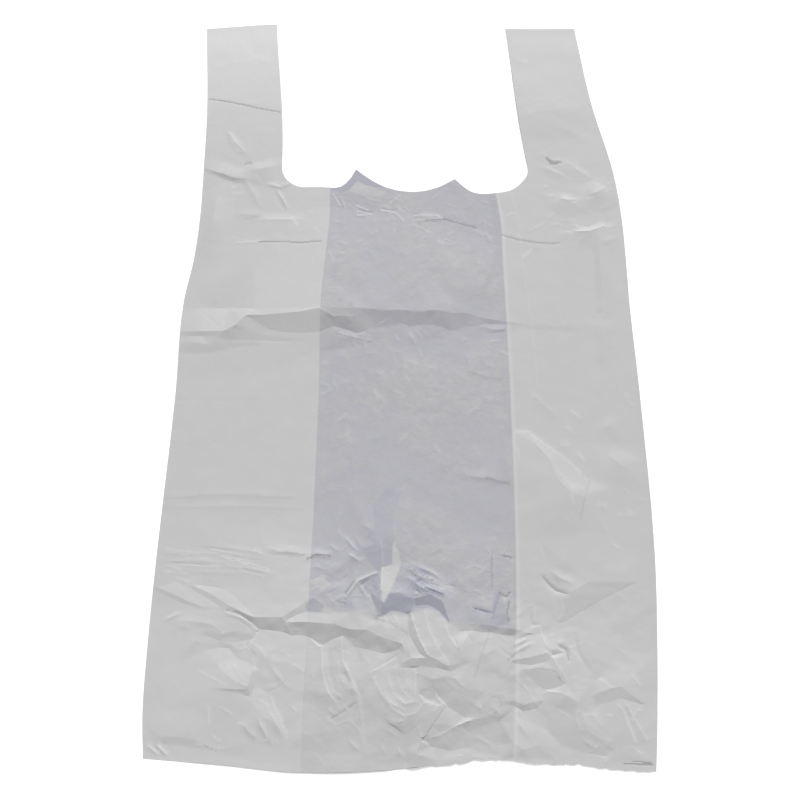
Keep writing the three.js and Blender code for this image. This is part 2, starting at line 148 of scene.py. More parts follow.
# Crease lines of the crumpled film, each point with its height; flat facets lie between them
CREASES = (
    # Wide fold across the middle: its ridge, its foot and the low ridges under its left end
    ((-149, 280.4, 1.3), (-134, 280.2, 1.8), (-120, 280, 2.5), (-117, 281.5, 2.7), (-112.5, 284, 3),
     (-109, 288.5, 3.1), (-106, 291.4, 3.1), (-95, 291.4, 3.3), (-80, 292.8, 3.5), (-70, 293.8, 3.6),
     (-58, 296.4, 3.7), (-53, 293.4, 3.4), (-48, 290.6, 3), (-44, 291.4, 3), (-38, 290.4, 2.8),
     (-33, 291, 2.6), (-30, 295.4, 2.9), (-22, 296.4, 2.8), (-16, 294.6, 2.6), (-8, 295.8, 2.6),
     (0, 295.4, 2.5), (8, 293.8, 2.3), (14, 295.2, 2.4), (22, 295.4, 2.3), (30, 293.6, 2),
     (36, 294, 1.8), (42, 293.4, 1.5), (48, 291.2, 1), (58, 289.2, 0.7), (65, 288, 0.4), (85, 285, 0.2),
     (105, 284, 0.12), (120, 282, 0.1)),
    ((-58, 280.4, 0.7), (-48, 284.4, 0.9), (-40, 282.2, 0.5), (-33, 279.6, 0.3), (-27, 281.2, 0.4),
     (-24, 283, 0.5), (-19, 286, 0.9), (-14, 284, 0.4), (-9, 288.6, 1.1), (-3, 286.6, 0.6),
     (2, 284.4, 0.3), (10, 285.6, 0.4), (18, 285.4, 0.3), (24, 284, 0.3), (28, 281.6, 0.1),
     (33, 281.8, 0.1), (38, 284.4, 0.2), (46, 284.6, 0.2), (52, 286.6, 0.2), (58, 286.2, 0.1),
     (65, 286.2, 0.1), (85, 282.5, 0.1), (105, 281.5, 0)),
    ((-58, 297.6, 3.5), (-50, 297.4, 3.4), (-42, 296.8, 3.3), (-34, 297, 3.2)),
    ((-47, 279.8, 0.8), (-38, 277.2, 0.8), (-28, 274.6, 0.5), (-21, 272.8, 0.3)),
    ((52, 283.6, 0.3), (58, 282, 0.4), (64, 282.6, 0.4)),
    ((54, 279.4, 0), (64, 280.8, 0)),
    ((-104.5, 290.4, 2.7), (-98, 286, 2.1), (-90, 281.6, 1.3), (-80, 279.8, 1), (-70, 279.4, 0.8),
     (-60, 280, 0.7)),
    ((-113.5, 282.6, 2.6), (-105, 280.8, 1.9), (-97, 279, 1.4), (-88, 276.8, 1), (-75, 275.4, 0.7),
     (-64, 274.6, 0.5)),
    ((-119, 274, 1.2), (-110, 273.9, 1), (-100, 273.9, 0.8), (-88, 273.4, 0.6), (-78, 273.2, 0.5),
     (-64, 273.7, 0.45)),
    ((-117, 272.2, 1), (-100, 272.5, 0.8), (-85, 272, 0.62), (-70, 271.8, 0.42)),
    ((-115, 268.6, 0.5), (-108, 269.2, 0.5), (-95, 270.5, 0.6), (-80, 270.6, 0.5)),
    ((-149, 277.2, 0.8), (-134, 277, 1.2), (-124, 276.8, 1.8)),
    ((-149, 272.2, 0.9), (-140, 272, 1.3), (-128, 270.6, 1.2), (-123, 271.6, 1.2)),
    ((-149, 265, 0.2), (-140, 264.6, 0.3), (-127, 264.8, 0.4), (-121, 267.6, 0.6)),
    ((-149, 298, 0), (-138, 297.8, 0), (-128, 298, 0), (-118, 298, 0.2), (-108, 297.2, 1.6),
     (-100, 296.4, 2.5), (-90, 296, 3), (-66, 297, 3.3)),
    # Bright strip on the slack film of the right side
    ((68, 210, 0.1), (76, 210, 0.1), (84, 203, 0.2), (96, 193.5, 0.2), (108, 181, 0.3), (113, 177, 0.4)),
    ((70, 207.6, 0.4), (80, 201.6, 0.9), (89, 190, 1.4), (93, 177, 1.9), (100, 168, 2.1),
     (108, 165.5, 1.8), (110.5, 171, 1.1)),
    # Slanting ridges at the left edge and the bright strip that leads to the dark band
    ((-149, 108.5, 0.8), (-140, 104.5, 1.2), (-128, 98.5, 1.5), (-119, 95, 1.6)),
    ((-149, 105.6, 0.55), (-140, 101.4, 0.85), (-128, 96, 1.2), (-119, 93, 1.4)),
    ((-143, 108, 0.7), (-136, 111.4, 0.6), (-130, 107.4, 0.8), (-124, 101.6, 1.1)),
    ((-127, 109, 0.9), (-115, 103, 1.5), (-104, 95.6, 2.1), (-92, 89.4, 2.6), (-88.5, 88, 2.8)),
    ((-128, 107, 0.75), (-116, 100, 1.2), (-108.6, 94.6, 1.6)),
    ((-120, 108.4, 0.7), (-113, 107.4, 0.8), (-107, 106, 1), (-100, 100.6, 1.4), (-92, 91.8, 2.2),
     (-88, 89, 2.7)),
    ((-107, 93.2, 1.7), (-98, 90.4, 1.7), (-90, 85.4, 1.5), (-86, 81.8, 0.9)),
    ((-105, 91, 1.8), (-96, 88, 1.9), (-87, 80.8, 1.2)),
    ((-106, 89.4, 1.6), (-97, 86, 1.6), (-88, 79.6, 1.2)),
    # Dark band, its fork to the right and the light wedge inside the fork
    ((-88, 88.2, 2.8), (-80, 88, 2.8), (-72, 88.2, 2.9), (-64, 94, 2.8), (-58, 98.8, 2.6),
     (-54, 100.2, 2.5), (-48, 96.6, 2)),
    ((-86, 81.2, 0.8), (-80, 81, 0.6), (-72, 80, 0.5), (-66, 77.8, 0.4), (-60, 78, 0.3),
     (-55, 76.4, 0.3), (-48, 72, 0.3), (-42, 75.6, 0.6), (-36, 77.4, 1.1), (-33, 76.6, 1),
     (-29, 71, 0.2), (-22, 69.6, 0.2), (-12, 66.8, 0.3), (-3, 69, 0.8)),
    ((-70, 86.2, 2.3), (-64, 89.6, 2.1), (-58, 91.8, 1.9), (-50, 91.4, 1.9), (-44, 90.4, 1.9),
     (-40, 91.8, 1.8), (-34, 90.6, 1.8), (-30, 91.6, 1.7), (-22, 89.4, 1.8), (-18, 86, 1.9),
     (-14, 85, 2), (-9, 80.4, 2)),
    ((-67.5, 85, 2.7), (-58, 85.4, 2.7), (-48, 84.6, 2.7), (-41, 84.2, 2.7), (-36, 82, 2.6),
     (-30, 80.8, 2.6), (-22, 80.6, 2.6), (-14, 76.6, 2.3), (-6, 74, 2), (0, 72, 1.8)),
    # Soft folds on the left side below the band
    ((-118, 80.6, 1.3), (-110, 79.4, 1.4), (-100, 79.8, 1.5), (-90, 78.6, 1.4)),
    ((-117, 78, 1), (-108, 74.4, 0.7), (-100, 73.4, 0.6), (-95, 74.4, 0.8), (-88.5, 75.6, 1)),
    ((-107, 70.4, 0.3), (-102, 70, 0.35), (-97, 63.6, 0.8), (-90, 61, 1.1)),
    ((-109, 61.4, 1.4), (-104, 55, 2.1), (-96, 49, 2.7), (-90, 46.6, 2.8), (-88, 56, 1.7),
     (-89.6, 61, 1.2)),
    ((-101, 71, 0.7), (-92, 69.6, 1.1), (-88, 72.6, 1.2)),
    ((-96, 65, 0.9), (-91, 62.8, 1.1)),
    ((-81.5, 64.6, 1.5), (-84, 57, 1.1), (-86, 50, 1.1), (-88, 41, 1.5)),
    ((-103, 45.6, 2.3), (-97, 45, 2.6), (-91, 45, 2.6)),
    ((-103, 44, 2), (-97, 43.4, 2.2), (-91, 43.4, 2.2)),
    ((-84, 47, 0.8), (-79, 43.6, 0.8), (-74, 46, 1), (-68, 50.4, 1.2)),
    ((-86, 36, 1.5), (-80, 29, 1.9), (-75, 27, 1.8), (-69, 19, 1.2)),
    ((-76, 41, 1), (-73, 33, 1.2), (-66, 20, 1)),
    ((-140, 18.4, 1.3), (-126, 18, 1.5), (-117, 15.6, 1.4), (-107, 10.4, 0.9)),
    ((-138, 14.4, 0.8), (-126, 13, 0.8), (-114, 11.4, 0.9), (-106, 9, 0.8)),
    # Standing fold below the window, with its two edges
    ((-48, 71.6, 0.6), (-47, 56, 1.6), (-43, 43, 2.1), (-38.6, 38, 2.1)),
    ((-45.4, 71.4, 0.5), (-43.6, 56, 1.2), (-39.8, 44.6, 1.8), (-36, 40.4, 1.9)),
    ((-36.5, 77, 1.2), (-35.4, 62, 1.8), (-30, 51, 2.1), (-25.6, 42, 2.1), (-23, 28, 1.9),
     (-21, 17, 1.3)),
    ((-34, 76, 0.8), (-33.4, 62, 1.2), (-27.6, 50, 1.5), (-23.4, 41, 1.5), (-20.6, 28, 1.5)),
    ((-42, 70, 1), (-40.6, 56, 1.7), (-37, 47, 2.1)),
    ((-56, 19.4, 1.6), (-40, 20, 1.7), (-32, 23.6, 1.8), (-24, 19, 1.4)),
    ((-56, 10, 1.1), (-38, 9, 1.1), (-26, 8, 1.1)),
    # Pocket in the middle of the crumpled bottom
    ((-18.4, 55.4, 1.3), (-10, 56.6, 1.3), (-2, 58, 1.5), (7.4, 58, 1.6)),
    ((-17, 52, 1.5), (-12, 42.4, 2.2), (-5, 33.4, 2.8), (2, 29.4, 3), (8, 31, 3), (13, 37.4, 2.7),
     (8.6, 44, 2.4), (8, 56.6, 1.8)),
    ((-8, 26, 2), (2, 19, 1.5), (3.6, 11, 0.9), (4, 3, 0.6)),
    ((6, 20.6, 1.7), (9.6, 24.6, 2.4), (12, 15.6, 2.3), (9.4, 8.6, 2.5), (8.4, 3, 2.2)),
    # Tall bright facet, the dark slope at its left and the dark lens under it
    ((3.4, 91.4, 1.2), (10, 93.4, 1.2), (20, 91, 1.4), (24, 84, 2), (27, 76, 2.6), (31.4, 70, 3)),
    ((4.6, 86, 2), (8.6, 75, 2.9), (14, 65, 3.7), (20, 62.4, 3.6), (26, 58.4, 3.4)),
    ((2.4, 85, 1.2), (3.6, 77, 1.3), (9.4, 66.6, 2.2), (12.6, 63.8, 3)),
    ((0, 60.8, 2), (5, 63.4, 2.7), (14, 63.6, 3.4)),
    ((0.6, 59.4, 1.7), (10, 58.8, 2.3), (20, 57.8, 2.5), (28, 55.4, 2.7)),
    ((9.4, 54.6, 2.4), (18, 51, 2.8), (25, 52.4, 2.9), (33, 50.6, 3), (37, 45.4, 2.7)),
    ((10.6, 42.4, 1.8), (14.6, 39.6, 1.7), (18, 47.6, 2.3), (22, 41, 1.6), (27, 35.4, 1.4),
     (37, 29, 1.4)),
    ((13, 16.4, 1.2), (22, 18.6, 1.7), (32, 24, 2.1), (39, 27, 2.2)),
    ((18, 12.6, 0.6), (30, 10.2, 0.5), (38.6, 12, 0.5), (40.6, 21.6, 1)),
    ((13.6, 18.4, 1.9), (18, 25.4, 2.2), (25, 35, 1.8)),
    # Between the tall facet and the right-hand gusset fold
    ((31, 84.6, 1.5), (40, 84.4, 1.5), (46, 84, 1.9), (52, 83.6, 1.9), (56, 82, 1.5), (64, 81.4, 1.9)),
    ((33, 80, 1.1), (41, 80.6, 1), (46, 79.6, 0.8), (52, 79.4, 0.8), (57, 78, 1), (64, 77.4, 0.8)),
    ((37, 22.4, 1.2), (45, 28.4, 2.2), (51, 30, 2.3), (57.4, 29, 2.2)),
    ((38, 20.8, 1), (46, 23.6, 1.3), (57.6, 27, 1.7)),
    # Creased strip right of the right-hand gusset fold
    ((64, 62.4, 2.1), (74, 63.6, 2.5), (80, 66, 2.6), (85.6, 67, 2.6)),
    ((65, 60.6, 1.7), (75, 59.4, 1.7), (84, 61.6, 1.9), (87, 64.6, 2.2)),
    ((70, 56.2, 2), (79, 57.4, 2.3), (90, 55.8, 2.5), (94.4, 48.4, 2.2)),
    ((74, 52.4, 1.4), (80, 46.6, 1.2), (85, 45, 1.2), (92, 47, 1.8)),
    ((66, 38.4, 1.8), (71, 36, 2), (78, 38.4, 2), (82, 43, 1.4)),
    ((66, 35.6, 1.1), (71, 32.6, 1.1), (78, 34, 1.1), (83, 38.6, 1.5)),
    ((66, 14, 2.2), (72, 10.4, 2.5), (80, 13, 2.2), (84, 20, 1.4)),
    # Right side: the slack triangle, the darker slope and the panels of the corner
    ((97.6, 103, 1.5), (103, 106.6, 1.7), (109, 110.6, 1.7), (122, 110.8, 1.3), (136, 110.4, 0.7)),
    ((93, 85.2, 0.5), (105, 92.6, 0.5), (120, 101.4, 0.5), (136.6, 109.8, 0.6)),
    ((92.6, 86, 0.7), (95.4, 94, 1), (97, 102.4, 1.5)),
    ((85, 44, 1.9), (92, 43, 2.8), (97, 40.6, 3.3), (102.2, 37, 3.3)),
    ((86, 21, 1.1), (93, 13, 0.9), (104, 10, 1.1), (114, 8, 1.2), (120, 7, 1.2)),
    ((102.6, 38.6, 3.2), (101.8, 28, 2.5), (105, 21, 2.1), (122.6, 10, 1.6)),
    ((104.4, 36, 2.8), (104.2, 28.6, 2.5), (108, 22, 2.3), (124, 10.6, 1.8)),
    ((110, 41, 1.9), (114, 43, 2.3), (118, 44, 2.5), (122, 46, 2.5), (127.6, 46.4, 2.4), (133, 42, 1.9),
     (141, 37, 1.2)),
    ((112, 50.6, 1.6), (116, 52.4, 1.5), (122, 47.4, 2.3)),
    ((113, 35.8, 1.6), (121, 38.2, 1.6), (127, 40, 1.7), (131, 39, 1.5), (140, 36.4, 0.9)),
    ((124.6, 36.6, 1.6), (128.4, 34, 1.9), (132, 24, 1.8), (136, 14.6, 1.7)),
    ((129.8, 34, 1.6), (134, 24, 1.4), (138.4, 14.4, 1.3)),
    ((131, 36, 1.7), (136, 26.6, 1.6), (142.4, 17, 1.5)),
    # Standing fold at the foot of the window's middle
    ((-8, 136, 1), (-14, 120, 0.6), (-14.6, 108, 1.8), (-14, 98, 2.9), (-15, 90, 1.8)),
    ((-16.4, 136, 1.2), (-27, 131, 0.5), (-16.6, 117, 0.4), (-21, 104, 0.5), (-18, 96, 0.9),
     (-16.6, 89.4, 1.6)),
    ((-3.4, 122, 0.4), (-7, 111, 1.2), (-12.6, 97.6, 2.5)),
    ((-9.4, 103.6, 2.3), (-4, 103.4, 2.2), (4, 103, 1.9), (6, 101, 1.7)),
    ((-13.4, 89.4, 1.2), (-8, 93, 0.7), (-2, 92.4, 0.6), (3, 90.6, 0.8)),
    ((5, 100, 2), (15, 102.4, 2.3), (22, 98.4, 2.3), (27, 85, 1.9)),
    ((7, 96, 0.9), (14, 96.4, 0.8), (20.4, 92.6, 1)),
)

# Single points with their height, where the film settles between the crease lines
REST_POINTS = (
    (-149, 372, 0), (-105, 372, 0), (-58, 376, 0), (0, 372, 0), (65, 345, 0), (100, 310, 0),
    (-149, 320, 0), (-120, 344, 0.1), (-128, 318, 0.3), (-105, 326, 0.9), (-85, 324, 1.7),
    (-58, 322, 2.3), (-149, 245, 0), (-90, 250, 0), (-60, 266, 0), (0, 270, 0), (40, 274, 0),
    (65, 270, 0), (149, 283, 0), (60, 225, 0), (120, 200, 0), (124, 172, 0.6), (122, 140, 0.7),
    (90, 128, 1), (66, 150, 0.8), (60, 186, 0.6), (-149, 150, 0), (-90, 150, 0), (-40, 172, 0),
    (12, 162, 0), (50, 140, 0.3), (80, 138, 0.8), (149, 140, 0.2), (-149, 120, 0.5), (-120, 116, 0.6),
    (-95, 112, 1.1), (-80, 104, 2.1), (-72, 98, 2.5), (-64, 106, 2), (-54, 108, 1.8), (-38, 112, 0.6),
    (-30, 122, 0.3), (8, 124, 0.5), (20, 114, 0.7), (34, 104, 0.7), (50, 108, 0.5), (75, 112, 0.8),
    (88, 120, 0.7), (112, 142, 1), (140, 124, 0.4), (-116, 69, 0.9), (-149, 92, 0.7), (-132, 90, 1.1),
    (-118, 88, 1.5), (-149, 60, 0.8), (-128, 62, 1), (-149, 30, 0.8), (-126, 36, 1.3), (-112, 46, 1.7),
    (-110, 26, 1.4), (-96, 22, 1.3), (-78, 70, 0.9), (-70, 60, 1.1), (-62, 66, 0.8), (-62, 44, 1.2),
    (-62, 26, 1.1), (-64, 12, 1.1), (-92, 12, 1.1), (-80, 12, 1.1), (-52, 60, 0.9), (-52, 36, 1.4),
    (-34, 32, 1.9), (-26, 60, 0.6), (-16, 30, 1.6), (-14, 12, 1.3), (48, 60, 2), (56, 70, 1.6),
    (40, 62, 2.4), (48, 44, 2.3), (60, 50, 2.1), (58, 38, 2.2), (50, 16, 0.9), (60, 14, 1), (22, 70, 3),
    (18, 82, 2.1), (90, 98, 0.7), (86, 90, 0.8), (78, 78, 1.4), (74, 90, 1), (70, 98, 0.8),
    (96, 74, 1.4), (108, 80, 0.9), (125, 90, 0.7), (143, 100, 0.5), (104, 64, 1.8), (98, 54, 2.3),
    (120, 62, 1.4), (142, 60, 0.9), (147, 40, 0.8), (118, 26, 1.9), (110, 32, 2), (147, 14, 1.2),
    (-140, 8, 0.8), (-110, 5, 0.9), (-80, 3, 1), (-40, 3, 1.1), (-10, 3, 1.2), (22, 4, 1.1),
    (60, 6, 1.5), (76, 5, 2), (90, 5, 1.2), (120, 4, 1.5), (146, 4, 1.3), (76, 26, 1.2), (136, 8, 1.7),
    (-50, 288.4, 2), (-36, 287, 1.9), (-25, 289, 1.4), (-12, 291.6, 1.7), (3, 290.2, 1.5),
    (16, 290.6, 1.2), (27, 288.4, 1.2), (-79, 84.6, 2), (-60, 81.8, 1.3), (-45, 79.8, 1.9),
    (-27, 75.6, 1), (-21, 76, 1.8), (-15, 71.8, 0.9), (-8, 70.8, 1.6), (-2, 22, 2.1),
    (-108, 77.4, 1.25), (-101, 77.2, 0.9),
)

# Points round the creased film, with the height at which its facets run out
FLAT_FRAME = (
    (-190, -30, 0.8), (-100, -30, 0.9), (0, -30, 1.1), (100, -30, 1.2), (190, -30, 1.2), (-190, 200, 0),
    (-60, 200, 0), (60, 240, 0), (190, 200, 0), (-190, 390, 0), (0, 390, 0), (190, 390, 0),
    (-190, 570, 0), (0, 570, 0), (190, 570, 0), (-190, 80, 0.4), (190, 80, 0.4),
)

# Edge of the window's contact with the back: below it the film stands off and loses its tint
CONTACT_EDGE = (
    (-149, 96), (-59, 96), (-50, 99), (-40, 92), (-30, 92), (-16, 88), (-13, 91), (4, 91), (15, 95),
    (26, 86), (40, 85), (53, 80), (65, 78), (149, 78),
)
CONTACT_BLUR = 2.2

# Narrow wrinkles: rise, flank on the left and on the right of the run, and the run's points; a wrinkle
# starts and ends low, at a share of half a turn
WRINKLES = (
    (0.9, 10, 2.6, ((-149, 408), (-137, 403), (-128, 399), (-119, 397.6))),
    (0.35, 3, 4, ((-133, 437), (-127, 428), (-120, 420))),
    (0.75, 6, 14, ((-117, 406.4), (-108, 407), (-98, 410.6))),
    (0.25, 4, 3, ((-119, 397), (-113, 387), (-108, 377))),
    (0.4, 2, 2, ((-105, 395), (-94, 392), (-86, 396))),
    (0.4, 2, 2, ((-97, 390), (-92, 382), (-88, 375))),
    (0.3, 2, 6, ((103.5, 409), (109.5, 405.4), (116.5, 401))),
    (0.25, 4, 10, ((119.5, 412.6), (132.5, 400))),
    (0.7, 40, 24, ((80, 449), (118, 456), (152, 462))),
    (1, 9, 16, ((130, 386), (136, 388), (141, 392))),
    (0.7, 5, 14, ((110, 383.6), (114.6, 381.6), (119, 382))),
    (0.8, 3.6, 14, ((117, 356.6), (127, 357), (136, 361))),
    (0.9, 4, 9, ((129.6, 298), (131, 318), (131.6, 336), (133, 357))),
    (0.5, 5, 9, ((126, 262), (128, 280), (129.6, 298))),
    (1, 7, 14, ((-143, 346), (-140, 364), (-138.6, 386))),
    (0.3, 4, 10, ((134, 348), (146, 352))),
    (0.7, 10, 16, ((125, 194), (131, 188), (138, 183))),
    (0.4, 5, 12, ((123, 213), (132, 216))),
    (0.2, 3, 6, ((82, 233), (95, 220))),
    (0.3, 6, 3, ((-121, 369.4), (-108, 368.4))),
    (0.3, 4, 12, ((-105, 366.4), (-78, 366))),
    (0.5, 4, 3, ((8, 368), (20, 367.4))),
    (0.4, 5, 2.4, ((33, 180), (48, 178), (63, 174))),
    (0.25, 4, 2, ((39, 252), (50, 248), (60, 246))),
    (0.26, 4, 2.4, ((-148, 165), (-110, 166.4), (-71, 165))),
    (0.18, 4, 2.4, ((-148, 158), (-100, 159), (-64, 157))),
    (0.5, 5, 1.8, ((-82, 130), (-70, 129), (-60, 128))),
    (0.7, 4, 2, ((-59, 125), (-54, 128), (-46, 127))),
    (0.14, 2.4, 1.6, ((-148, 130), (-134, 128), (-120, 127))),
    (0.14, 2.4, 1.6, ((-147, 124), (-126, 124), (-105, 122))),
    (0.18, 2.4, 1.6, ((-110, 121), (-95, 119), (-80, 115))),
    (0.12, 2.4, 1.6, ((-128, 117), (-98, 116))),
    (0.15, 2.4, 1.6, ((-120, 134), (-104, 132), (-90, 129))),
    (0.4, 1.6, 2, ((-140, 87), (-132, 91))),
    (0.3, 2, 2.4, ((-82, 26), (-77, 17))),
    (0.2, 2, 2, ((-87, 21), (-83, 16))),
    (0.2, 2, 2, ((-112, 35), (-111, 25))),
    (0.4, 1.8, 1.8, ((-146, 13), (-140, 8))),
    (0.4, 1.8, 1.8, ((-140.5, 13), (-135, 8))),
    (-0.4, 2, 2, ((56.5, 104), (54, 95), (51, 84))),
    (-0.5, 2, 2.4, ((82, 114), (86, 108.6), (90, 105), (97, 102.6))),
    (0.4, 3, 3, ((87, 117), (92, 113), (99, 110))),
    (-0.4, 2, 2, ((74, 92), (75, 84), (80, 84))),
    (0.6, 2, 2, ((65, 67), (75, 72.4))),
    (0.55, 2, 2, ((65, 71), (73, 75.6))),
    (0.5, 2, 2, ((66, 77), (74, 79))),
    (-0.7, 2, 2, ((91, 71), (95.6, 68.6), (97, 62))),
    (-0.6, 2, 2, ((84, 69), (88, 65.4), (94, 67))),
    (-0.4, 2, 2, ((100, 78), (103, 66), (109, 56))),
    (0.6, 2, 2, ((-35, 101), (-29, 111), (-18, 116.4))),
    (0.5, 2, 2, ((-28.6, 110.4), (-23, 101.4))),
    (0.6, 2, 2.4, ((0, 120), (9, 114), (16, 112))),
    (0.7, 2, 2.6, ((2, 113), (8, 107.6), (14, 104))),
    (0.7, 2, 2.4, ((11, 108), (18, 105), (24.6, 102))),
    (0.5, 2, 2, ((8, 120), (15, 117), (22, 112))),
    (-0.4, 2, 2, ((40, 94.4), (46, 92.6), (51, 91))),
    (0.2, 4, 2, ((-57, 119), (-50, 121), (-40, 119))),
    (0.25, 3, 2, ((-52, 103), (-44, 106), (-38, 109))),
    (0.25, 2.4, 2, ((-44, 96), (-40, 100), (-33, 102.6))),
    (0.35, 2, 2, ((-38, 140), (-33, 134), (-30, 131))),
    (0.35, 2, 2, ((-31, 140), (-27, 133))),
    (0.2, 2, 3, ((-27, 148), (-21, 144))),
    (0.35, 2, 2, ((-34, 128), (-28, 124))),
    (0.3, 2, 2, ((-46, 134), (-41, 130.4))),
    (0.3, 2, 2, ((-54, 120), (-46, 117.6))),
    (0.35, 1.8, 1.8, ((-33, 58), (-29.6, 52))),
    (0.3, 1.8, 1.8, ((-36, 51), (-31.6, 46.4))),
    (0.3, 1.8, 1.8, ((-30, 47), (-26.6, 42.6))),
    (0.3, 1.8, 1.8, ((-39.6, 43), (-34, 39.6))),
    (0.3, 1.8, 1.8, ((-42.6, 33), (-38, 30.4))),
    (0.3, 2, 2.4, ((-14, 46), (-7, 37.6), (1, 33.4))),
    (0.3, 2, 2.4, ((-4, 40), (3, 36.4), (9, 38))),
    (0.3, 2, 2, ((-9, 28), (-3, 25.6), (3, 27))),
    (0.3, 2, 2, ((-30, 16), (-24, 10))),
    (0.25, 2, 2, ((-8, 22), (-2, 18))),
    (0.25, 2, 2, ((-12, 14), (-8, 8))),
    (0.3, 2, 2, ((-2, 12), (1, 7))),
    (0.3, 3, 3, ((-138, 86), (-128, 86.6), (-116, 84.6), (-108, 83))),
    (0.25, 3, 3, ((-134, 80), (-132, 83.4), (-124, 82.6))),
    (0.2, 3, 3, ((-126, 69), (-122, 74), (-116, 73))),
    (0.3, 2.4, 2.4, ((-78, 60), (-72, 52), (-66, 46))),
    (0.35, 2.4, 3, ((-78, 34), (-73, 26), (-67, 17))),
    (0.3, 2, 2.4, ((-84, 30), (-79, 22), (-75, 15))),
    (0.3, 2, 2, ((-92, 26), (-86, 18))),
    (0.3, 2, 2.4, ((44, 18), (52, 14))),
    (0.3, 2, 2, ((40, 38), (46, 34), (50, 40))),
    (0.3, 2, 2, ((52, 36), (58, 30))),
    (0.3, 2, 2, ((68, 26), (74, 18))),
    (0.3, 2, 2, ((106, 16), (114, 11))),
)
WRINKLE_START = 0.12

